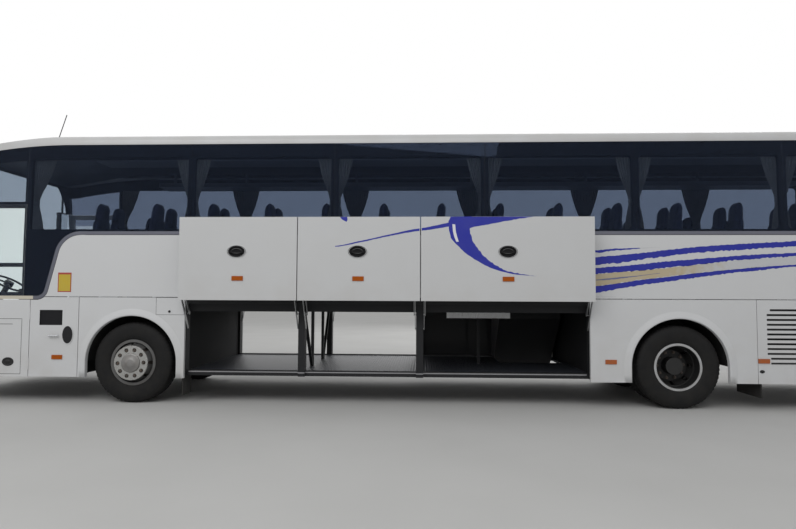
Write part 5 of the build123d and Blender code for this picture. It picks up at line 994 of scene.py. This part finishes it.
def arch_flare(name, axle_x, side):
    """Lip swept round the arch and down both its legs."""
    leg_middle_z = (SKIRT_Z + ARCH_Z) / 2
    stations = [(axle_x - ARCH_INNER, height, -1.0, 0.0) for height in (SKIRT_Z, leg_middle_z)]
    for step in range(ARCH_STEPS + 1):
        angle = pi - pi * step / ARCH_STEPS
        stations.append((axle_x + ARCH_INNER * cos(angle), ARCH_Z + ARCH_INNER * sin(angle), cos(angle),
                         sin(angle)))
    stations += [(axle_x + ARCH_INNER, height, 1.0, 0.0) for height in (leg_middle_z, SKIRT_Z)]
    size = len(FLARE_SECTION)
    points = [(x + out * out_x, side * (SIDE_Y + proud), z + out * out_z)
              for x, z, out_x, out_z in stations for out, proud in FLARE_SECTION]
    faces = quads(len(stations), size)
    for end in (0, (len(stations) - 1) * size):
        faces.append(tuple(range(end, end + size)))
    return shell(name, points, faces, body_paint)


for side, word in ((-1, "left"), (1, "right")):
    for axle, axle_x in (("front", FRONT_AXLE_X), ("rear", REAR_AXLE_X)):
        flare = arch_flare(f"arch_flare_{axle}_{word}", axle_x, side)
        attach(flare, "coach_body")

# Running gear and underframe: forged and welded steel in black chassis paint, dusted by the road.
# The door links are zinc plated, and the engine is a grey-painted block.
chassis_black = finish_of("black chassis paint", (0.014, 0.014, 0.015), (0.06, 0.055, 0.05), everywhere=0.25,
                          low=0.4, scale=5, roughness=0.7, grain=0.3, shine=0.2)
dress(chassis_black, "underframe", "axles", "tie_rod", "knuckle_left", "knuckle_right", "arch_liners")
dress(finish_of("engine paint", (0.14, 0.145, 0.15), (0.07, 0.05, 0.03), everywhere=0.4, low=0.5, scale=7,
                roughness=0.55, grain=0.3), "engine")
zinc = finish_of("zinc plating", (0.42, 0.43, 0.44), (0.22, 0.2, 0.17), everywhere=0.3, low=0.3, scale=25,
                 roughness=0.35, metallic=0.8)
dress(zinc, *[name for name in nodes if "_links_" in name])
dress(finish_of("mudflap rubber", (0.012, 0.012, 0.0125), (0.05, 0.046, 0.04), everywhere=0.3, low=0.6,
                band=(0.1, 0.7), scale=8, roughness=0.75, grain=0.5), "mudflaps")

# Luggage hold and floors: painted steel bulkheads and a chequered aluminium floor, scuffed by luggage.
# Bulkheads and floor are toned near-black and dark grey as painted shade of the hold.
# The saloon floor above is plywood under a grey covering. Where it faces the hold (faces that look left or
# down) it is painted black as painted shade.
HOLD_LINING_PAINTED_SHADE = (0.008, 0.0085, 0.01)
HOLD_FLOOR = ("box", (-3.1, -1.2, 0.4), (2.3, 1.2, 0.4145))
hold_lining_shaded = finish_of("hold lining", HOLD_LINING_PAINTED_SHADE, (0.025, 0.025, 0.025), everywhere=0.3, low=0.5,
                      band=(0.4, 0.8), scale=5, roughness=0.75, shine=0.2)
spots(hold_lining_shaded, (0.05, 0.055, 0.068), [HOLD_FLOOR], roughness=0.4, metallic=0.3, ribs=9)
dress(hold_lining_shaded, "luggage_hold")
floor_cover = finish_of("saloon floor covering", (0.12, 0.12, 0.13), (0.22, 0.21, 0.2), everywhere=0.3,
                        low=0.3, roughness=0.7, grain=0.3)
lined(floor_cover, HOLD_LINING_PAINTED_SHADE, "Y")
lined(floor_cover, HOLD_LINING_PAINTED_SHADE)
dress(floor_cover, "floors")

# Cab and saloon fittings: a moulded dashboard and a leather-grained steering wheel, both nearly black.
# The luggage racks along the ceiling are moulded in grey plastic.
cab_plastic = finish_of("cab plastic", (0.03, 0.03, 0.034), (0.1, 0.1, 0.1), everywhere=0.2, low=0.2, scale=6,
                        roughness=0.6, grain=0.5)
dress(cab_plastic, "dashboard", "steering_wheel")
dress(finish_of("rack plastic", (0.26, 0.27, 0.29), (0.36, 0.36, 0.36), everywhere=0.2, low=0.2, scale=3,
                roughness=0.5, grain=0.2), "luggage_racks")

# Mirrors: glass-fibre housings on steel arms, all black.
# Each has a mirror glass let into its rear face.
MIRROR_GLASS_X = -6.3
MIRROR_GLASS_THICK = 0.002
MIRROR_Y = 1.43
MIRROR_HALF_Y = 0.09
MIRROR_GLASS_Z = (2.445, 2.825)
mirror_black = finish_of("mirror housing", (0.015, 0.015, 0.017), (0.12, 0.11, 0.1), everywhere=0.15,
                         low=0.15, scale=8, roughness=0.35, grain=0.2)
for side in (-1, 1):
    low = (MIRROR_GLASS_X - MIRROR_GLASS_THICK, side * MIRROR_Y - MIRROR_HALF_Y, MIRROR_GLASS_Z[0])
    high = (MIRROR_GLASS_X + MIRROR_GLASS_THICK, side * MIRROR_Y + MIRROR_HALF_Y, MIRROR_GLASS_Z[1])
    spots(mirror_black, (0.62, 0.65, 0.68), [("box", low, high)], roughness=0.04, metallic=1.0)
dress(mirror_black, "mirrors")

# Seats: foam cushions and backs in dark blue woven cloth, with sewn channels and rounded head ends.
# They stand in pairs on one painted pedestal each, with a bench at the rear and a single seat for the driver.
SEAT_WIDTH = 0.43
SEAT_ROWS = 13
FIRST_ROW_X = -4.35
ROW_PITCH = 0.77
PAIR_Y = 0.735
SALOON_FLOOR_Z = 1.3453
CAB_FLOOR_Z = 0.9203
CUSHION_VOXEL = 0.012
SWELL_LIMIT = 0.022
STUFFING_PRESSURE = 4
STUFFING_FRAMES = 20
LOFT_SIDES = 28
LOFT_SQUARE = 0.55


def weave_group():
    """Threads crossing at right angles on a surface."""
    group = bpy.data.node_groups.new("Cloth weave", "ShaderNodeTree")
    add_socket(group, "Threads", "NodeSocketFloat", 200.0)
    add_socket(group, "Weave", "NodeSocketFloat", output=True)
    threads = group.nodes.new("NodeGroupInput").outputs["Threads"]
    place = object_place(group)
    waves = [add_node(group, "ShaderNodeTexWave", {"Distortion": 0.4, "Vector": place, "Scale": threads},
                      bands_direction=direction).outputs["Fac"] for direction in ("DIAGONAL", "Z")]
    add_node(group, "NodeGroupOutput", {"Weave": reckon(group, "MULTIPLY", *waves)})
    return group


CLOTH_WEAVE = weave_group()


def cloth(name, colour, other, threads, everywhere, scale, sheen):
    """Woven cloth: patches of a second colour, and threads that stand up."""
    material = finish_of(name, colour, other, everywhere=everywhere, low=everywhere, scale=scale,
                         roughness=0.88, shine=0.2)
    tree = material.node_tree
    surface = tree.nodes["Principled BSDF"].inputs
    surface["Sheen Weight"].default_value = sheen
    weave = add_node(tree, "ShaderNodeGroup", {"Threads": threads}, node_tree=CLOTH_WEAVE)
    bump = add_node(tree, "ShaderNodeBump", {"Strength": 0.6, "Distance": 0.001,
                                             "Height": weave.outputs["Weave"]})
    tree.links.new(bump.outputs["Normal"], surface["Normal"])
    return material


seat_cloth = cloth("seat cloth", (0.03, 0.04, 0.085), (0.075, 0.08, 0.13), 260, 0.9, 60, 0.25)


def lofted(name, sections):
    """Closed form through flat sections (x, z, half depth, half width), rounded at its corners."""
    points = []
    for x, z, depth, width in sections:
        for step in range(LOFT_SIDES):
            angle = 2 * pi * (step + 0.5) / LOFT_SIDES
            along, across = cos(angle), sin(angle)
            points.append((x + depth * abs(along) ** LOFT_SQUARE * (1 if along > 0 else -1),
                           width * abs(across) ** LOFT_SQUARE * (1 if across > 0 else -1), z))
    faces = quads(len(sections), LOFT_SIDES, columns_join=True)
    faces.append(tuple(range(LOFT_SIDES)))
    faces.append(tuple(range(len(points) - LOFT_SIDES, len(points))))
    return shell(name, points, faces, seat_cloth)


def settle(form):
    """Turns what a form's modifiers make of it into its plain mesh."""
    graph = bpy.context.evaluated_depsgraph_get()
    mesh = bpy.data.meshes.new_from_object(form.evaluated_get(graph))
    form.modifiers.clear()
    form.data = mesh
    return mesh


def stuffed(form, channels, keep):
    """Fills a sewn cover: remeshed, swollen by pressure, then drawn in along its sewn channels."""
    remesh = form.modifiers.new("even faces", "REMESH")
    remesh.mode = "VOXEL"
    remesh.voxel_size = CUSHION_VOXEL
    cover = settle(form)
    before = [vert.co.copy() for vert in cover.vertices]
    filling = form.modifiers.new("stuffing", "CLOTH")
    filling.settings.use_pressure = True
    filling.settings.uniform_pressure_force = STUFFING_PRESSURE
    filling.settings.effector_weights.gravity = 0
    for step in range(1, STUFFING_FRAMES + 1):
        bpy.context.scene.frame_set(step)
    swollen = settle(form)
    bpy.context.scene.frame_set(1)
    for vert, start in zip(swollen.vertices, before):
        move = vert.co - start
        if move.length > SWELL_LIMIT:
            vert.co = start + move.normalized() * SWELL_LIMIT
    normals = [vert.normal.copy() for vert in form.data.vertices]
    for vert, out in zip(form.data.vertices, normals):
        for axis, place, depth, spread, facing in channels:
            near = (vert.co[axis] - place) / spread
            if abs(near) < 3 and out.dot(Vector(facing)) > 0.2:
                vert.co -= out * depth * 2.718 ** (-near * near)
    thinner = form.modifiers.new("fewer faces", "DECIMATE")
    thinner.ratio = keep
    final = settle(form)
    return [tuple(vert.co) for vert in final.vertices], [tuple(face.vertices) for face in final.polygons]


BACK_LEAN = 0.0925
BACK_SECTIONS = []
for up, depth, width in ((0.515, 0.02, 0.15), (0.525, 0.036, 0.19), (0.56, 0.046, 0.2), (0.66, 0.05, 0.2),
                         (0.8, 0.046, 0.2), (0.95, 0.04, 0.2), (1.04, 0.036, 0.192), (1.1, 0.033, 0.175),
                         (1.16, 0.034, 0.152), (1.22, 0.035, 0.135), (1.27, 0.032, 0.12), (1.3, 0.025, 0.1),
                         (1.312, 0.012, 0.07)):
    BACK_SECTIONS.append((-0.012 + (up - 0.5) * BACK_LEAN, up, depth, width))
CUSHION_SECTIONS = [(-0.215, 0.441, 0.17, 0.17), (-0.215, 0.448, 0.19, 0.19), (-0.215, 0.47, 0.2, 0.2),
                    (-0.215, 0.5, 0.2, 0.2), (-0.215, 0.522, 0.19, 0.19), (-0.215, 0.53, 0.15, 0.15)]
# Sewn channels: axis across each, its place, its depth and half width, and the side that it is sewn on.
AHEAD, BEHIND, ABOVE = (-1, 0, 0), (1, 0, 0), (0, 0, 1)
BACK_CHANNELS = ((1, -0.115, 0.008, 0.012, AHEAD), (1, 0.115, 0.008, 0.012, AHEAD),
                 (2, 1.06, 0.009, 0.014, AHEAD), (2, 0.72, 0.007, 0.014, AHEAD),
                 (2, 1.06, 0.006, 0.014, BEHIND))
CUSHION_CHANNELS = ((1, -0.115, 0.008, 0.012, ABOVE), (1, 0.115, 0.008, 0.012, ABOVE),
                    (0, -0.36, 0.008, 0.014, ABOVE))
back_cover = lofted("back_cover", BACK_SECTIONS)
back_points, back_faces = stuffed(back_cover, BACK_CHANNELS, 0.2)
cushion_cover = lofted("cushion_cover", CUSHION_SECTIONS)
cushion_points, cushion_faces = stuffed(cushion_cover, CUSHION_CHANNELS, 0.16)
for cover in (back_cover, cushion_cover):
    bpy.data.objects.remove(cover)


def seat_group(name, x, centres, floor_z, wide=1.0):
    """Cushions and backs side by side, as one upholstered piece."""
    points = []
    faces = []
    for centre in centres:
        for part_points, part_faces in ((back_points, back_faces), (cushion_points, cushion_faces)):
            base = len(points)
            points += [(x + px, centre + py * wide, floor_z + pz) for px, py, pz in part_points]
            faces += [tuple(base + index for index in face) for face in part_faces]
    seat = mesh_object(name, points, faces, seat_cloth, smooth=True)
    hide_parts("seats")
    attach(seat, "coach_body")


def bar_box(points, faces, low, high, edge=0.004):
    """Adds a rectangular bar with its long edges taken off."""
    (x0, y0, z0), (x1, y1, z1) = low, high
    base = len(points)
    ring = [(x0 + edge, y0), (x1 - edge, y0), (x1, y0 + edge), (x1, y1 - edge), (x1 - edge, y1),
            (x0 + edge, y1), (x0, y1 - edge), (x0, y0 + edge)]
    for z in (z0, z1):
        points += [(x, y, z) for x, y in ring]
    count = len(ring)
    faces += [(base + i, base + (i + 1) % count, base + count + (i + 1) % count,
               base + count + i) for i in range(count)]
    faces.append(tuple(base + i for i in reversed(range(count))))
    faces.append(tuple(base + count + i for i in range(count)))


cad_seats = [tuple(vert.co) for vert in nodes["seats"].data.vertices]
frame_points = []
frame_faces = []


def seat_stand(x, centre, floor_z, half):
    """Pedestal under a seat, two cross rails on it and a side plate at each end."""
    foot = floor_z - 0.0003
    bar_box(frame_points, frame_faces, (x - 0.33, centre - 0.06, foot),
            (x - 0.13, centre + 0.06, floor_z + 0.4))
    for ahead in (-0.34, -0.1):
        bar_box(frame_points, frame_faces, (x + ahead, centre - half, floor_z + 0.4),
                (x + ahead + 0.035, centre + half, floor_z + 0.438))
    for edge in (centre - half, centre + half - 0.012):
        bar_box(frame_points, frame_faces, (x - 0.36, edge, floor_z + 0.395),
                (x + 0.045, edge + 0.012, floor_z + 0.56))


for row in range(SEAT_ROWS):
    row_x = FIRST_ROW_X + row * ROW_PITCH
    for side, word in ((-1, "left"), (1, "right")):
        if not any(abs(x - row_x) < 0.3 and 0.5 < side * y < 1.0 for x, y, z in cad_seats):
            continue
        middles = [side * PAIR_Y - SEAT_WIDTH / 2, side * PAIR_Y + SEAT_WIDTH / 2]
        seat_group(f"seat_pair_{word}_{row + 1}", row_x, middles, SALOON_FLOOR_Z)
        seat_stand(row_x, side * PAIR_Y, SALOON_FLOOR_Z, SEAT_WIDTH)
BENCH_X = 5.9
BENCH_PITCH = 0.455
seat_group("rear_bench", BENCH_X, [BENCH_PITCH * (place - 2) for place in range(5)], SALOON_FLOOR_Z,
           wide=1.03)
seat_stand(BENCH_X, 0.0, SALOON_FLOOR_Z, 1.12)
DRIVER_X = -5.13
DRIVER_Y = -0.65
seat_group("driver_seat", DRIVER_X, [DRIVER_Y], CAB_FLOOR_Z, wide=1.12)
seat_stand(DRIVER_X, DRIVER_Y, CAB_FLOOR_Z, 0.24)
seat_steel = finish_of("seat frame paint", (0.03, 0.03, 0.034), (0.12, 0.12, 0.12), everywhere=0.25, low=0.3,
                       scale=20, roughness=0.45, shine=0.3)
stands = mesh_object("seat_stands", frame_points, frame_faces, seat_steel)
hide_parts("seats")
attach(stands, "coach_body")

# Curtains: grey-beige cloth in narrow pleats, hung from a rail beside each pillar and tied at its middle,
# so that each one is waisted like an hourglass. The front pillars have narrower ones.
CURTAIN_JOINTS = (-2.96, -1.07, 0.871, 2.778, 4.606)
FRONT_PILLAR_X = -5.13
FRONT_SHARE = 0.65
CURTAIN_FLAT = 0.76
CURTAIN_WIDTHS = ((3.2, 0.47), (3.05, 0.4), (2.9, 0.31), (2.76, 0.2), (2.68, 0.15), (2.62, 0.135),
                  (2.56, 0.15), (2.48, 0.185), (2.38, 0.22), (2.3, 0.24), (2.237, 0.252))
HALF_PLEATS = 26
STEPS_PER_PLEAT = 4
DEEPEST_PLEAT = 0.05
HALVINGS = 24
PILLAR_INNER_Y = 1.214
SIDE_LEAN = (0.028, 1.32)
LEAN_FROM_Z = 2.19
HANGING_GAP = 0.0155
WAIST_Z = 2.62
BAND_HALF_Z = 0.02
BAND_SIDES = 28
BAND_SLACK = 0.007
RAIL_TOP_Z = 3.2
RAIL_THICK = (0.028, 0.016)
RAIL_END_X = 4.9
curtain_cloth = cloth("curtain cloth", (0.42, 0.39, 0.335), (0.28, 0.265, 0.235), 420, 0.6, 12, 0.2)


def curtain_y(z):
    """Where the curtain hangs: it follows the lean of the side."""
    return PILLAR_INNER_Y - SIDE_LEAN[0] * (z - LEAN_FROM_Z) / SIDE_LEAN[1] - HANGING_GAP


def pleated(width, flat, half_pleats):
    """Line of pleats of a given width whose length is that of the flat cloth."""
    low, high = 0.0, DEEPEST_PLEAT
    steps = half_pleats * STEPS_PER_PLEAT
    for _ in range(HALVINGS):
        depth = (low + high) / 2
        line = []
        for step in range(steps + 1):
            t = step / steps
            line.append((width * (t - 0.5), depth * sin(pi * t * half_pleats)))
        length = sum(sqrt((b[0] - a[0]) ** 2 + (b[1] - a[1]) ** 2) for a, b in zip(line[:-1], line[1:]))
        if length < flat:
            low = depth
        else:
            high = depth
    return line


def tie_band(name, x, half_wide, side):
    """Flat band round the waist of a curtain."""
    points = []
    faces = []
    for step, angle in enumerate(turn_angles(BAND_SIDES)):
        y = curtain_y(WAIST_Z) - 0.001 + HANGING_GAP * sin(angle)
        points += [(x + half_wide * cos(angle), side * y, WAIST_Z + rise)
                   for rise in (-BAND_HALF_Z, BAND_HALF_Z)]
        after = (step + 1) % BAND_SIDES
        faces.append((2 * step, 2 * after, 2 * after + 1, 2 * step + 1))
    return mesh_object(f"tie_band_{name}", points, faces, curtain_cloth, smooth=True)


def hang_curtain(name, joint_x, side, share):
    """Whole curtain about a window joint, or with a smaller share a narrow one from the joint backwards."""
    points = []
    half_pleats = round(HALF_PLEATS * share)
    for z, width in CURTAIN_WIDTHS:
        shift = width * share / 2 if share < 1 else 0.0
        line = pleated(width * share, CURTAIN_FLAT * share, half_pleats)
        points += [(joint_x + shift + x, side * (curtain_y(z) + y), z) for x, y in line]
    faces = quads(len(CURTAIN_WIDTHS), half_pleats * STEPS_PER_PLEAT + 1)
    curtain = mesh_object(f"curtain_{name}", points, faces, curtain_cloth, smooth=True)
    half_waist = min(width for z, width in CURTAIN_WIDTHS) * share / 2
    band = tie_band(name, joint_x + (half_waist if share < 1 else 0.0), half_waist + BAND_SLACK, side)
    for thing in (curtain, band):
        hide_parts("curtains")
        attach(thing, "coach_body")


for side, word in ((-1, "left"), (1, "right")):
    for number, joint_x in enumerate(CURTAIN_JOINTS, 1):
        hang_curtain(f"{word}_{number}", joint_x, side, 1.0)
    hang_curtain(f"{word}_front", FRONT_PILLAR_X, side, FRONT_SHARE)
    rail_points = []
    rail_faces = []
    rail_y = curtain_y(RAIL_TOP_Z) + 0.0125
    ends = sorted((side * (rail_y - RAIL_THICK[0]), side * rail_y))
    bar_box(rail_points, rail_faces, (FRONT_PILLAR_X, ends[0], RAIL_TOP_Z),
            (RAIL_END_X, ends[1], RAIL_TOP_Z + RAIL_THICK[1]), edge=0.003)
    rail = mesh_object(f"curtain_rail_{word}", rail_points, rail_faces, seat_steel)
    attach(rail, "coach_body")

# Setting: a pale floor under a pale sky, with soft studio light from above on both sides.
# The camera stands at the viewpoint of the photograph.
CAMERA_AT = (0.0859, -8.976, 1.4008)
CAMERA_YAW = radians(2.431)
CAMERA_PITCH = radians(3.002)
CAMERA_ROLL = radians(0.239)
PHOTO_FOCAL = 602.35
PHOTO_WIDTH = 796
SENSOR_WIDTH = 36
LIT_STRENGTH = 0.5
SEEN_STRENGTH = 1.0


def aim(position, yaw, pitch, roll):
    forward = Vector((-sin(yaw) * cos(pitch), cos(yaw) * cos(pitch), sin(pitch)))
    level = Vector((cos(yaw), sin(yaw), 0))
    upright = level.cross(forward)
    across = level * cos(roll) + upright * sin(roll)
    above = upright * cos(roll) - level * sin(roll)
    turn = Matrix((across, above, -forward)).transposed().to_4x4()
    return Matrix.Translation(position) @ turn


lens_data = bpy.data.cameras.new("photo camera")
lens_data.lens = PHOTO_FOCAL / PHOTO_WIDTH * SENSOR_WIDTH
lens_data.sensor_width = SENSOR_WIDTH
lens_data.clip_end = 200
camera = bpy.data.objects.new("photo camera", lens_data)
bpy.context.scene.collection.objects.link(camera)
camera.matrix_world = aim(CAMERA_AT, CAMERA_YAW, CAMERA_PITCH, CAMERA_ROLL)
bpy.context.scene.camera = camera

FLOOR_SPAN = 60
floor_paint = finish_of("pale floor", (0.55, 0.55, 0.54), (0.48, 0.48, 0.47), everywhere=0.5, low=0.5,
                        scale=0.6, roughness=0.8)
ground = mesh_object("floor", [(x * FLOOR_SPAN, y * FLOOR_SPAN, 0)
                               for x, y in ((-1, -1), (1, -1), (1, 1), (-1, 1))],
                     [(0, 1, 2, 3)], floor_paint)


def lamp(name, position, target, size, power):
    data = bpy.data.lights.new(name, "AREA")
    data.shape = "RECTANGLE"
    data.size, data.size_y = size
    data.energy = power
    light = bpy.data.objects.new(name, data)
    bpy.context.scene.collection.objects.link(light)
    direction = Vector(target) - Vector(position)
    light.matrix_world = (Matrix.Translation(position)
                          @ direction.to_track_quat("-Z", "Y").to_matrix().to_4x4())


lamp("sky over the left side", (-4, -13, 11), (0, 0, 1.5), (16, 8), 1000)
lamp("sky over the right side", (6, 14, 10), (0, 0, 1.5), (14, 8), 700)
world = bpy.data.worlds.new("studio")
bpy.context.scene.world = world
world.use_nodes = True
air = world.node_tree
path = add_node(air, "ShaderNodeLightPath").outputs
seen = reckon(air, "MAXIMUM", path["Is Camera Ray"], path["Is Transmission Ray"])
shown = reckon(air, "MAXIMUM", seen, path["Is Glossy Ray"])
strength = add_node(air, "ShaderNodeMix", {"A": LIT_STRENGTH, "B": SEEN_STRENGTH, "Factor": shown})
backdrop = air.nodes["Background"]
backdrop.inputs["Color"].default_value = (1, 1, 1, 1)
air.links.new(strength.outputs["Result"], backdrop.inputs["Strength"])
bpy.context.scene.view_settings.view_transform = "Standard"
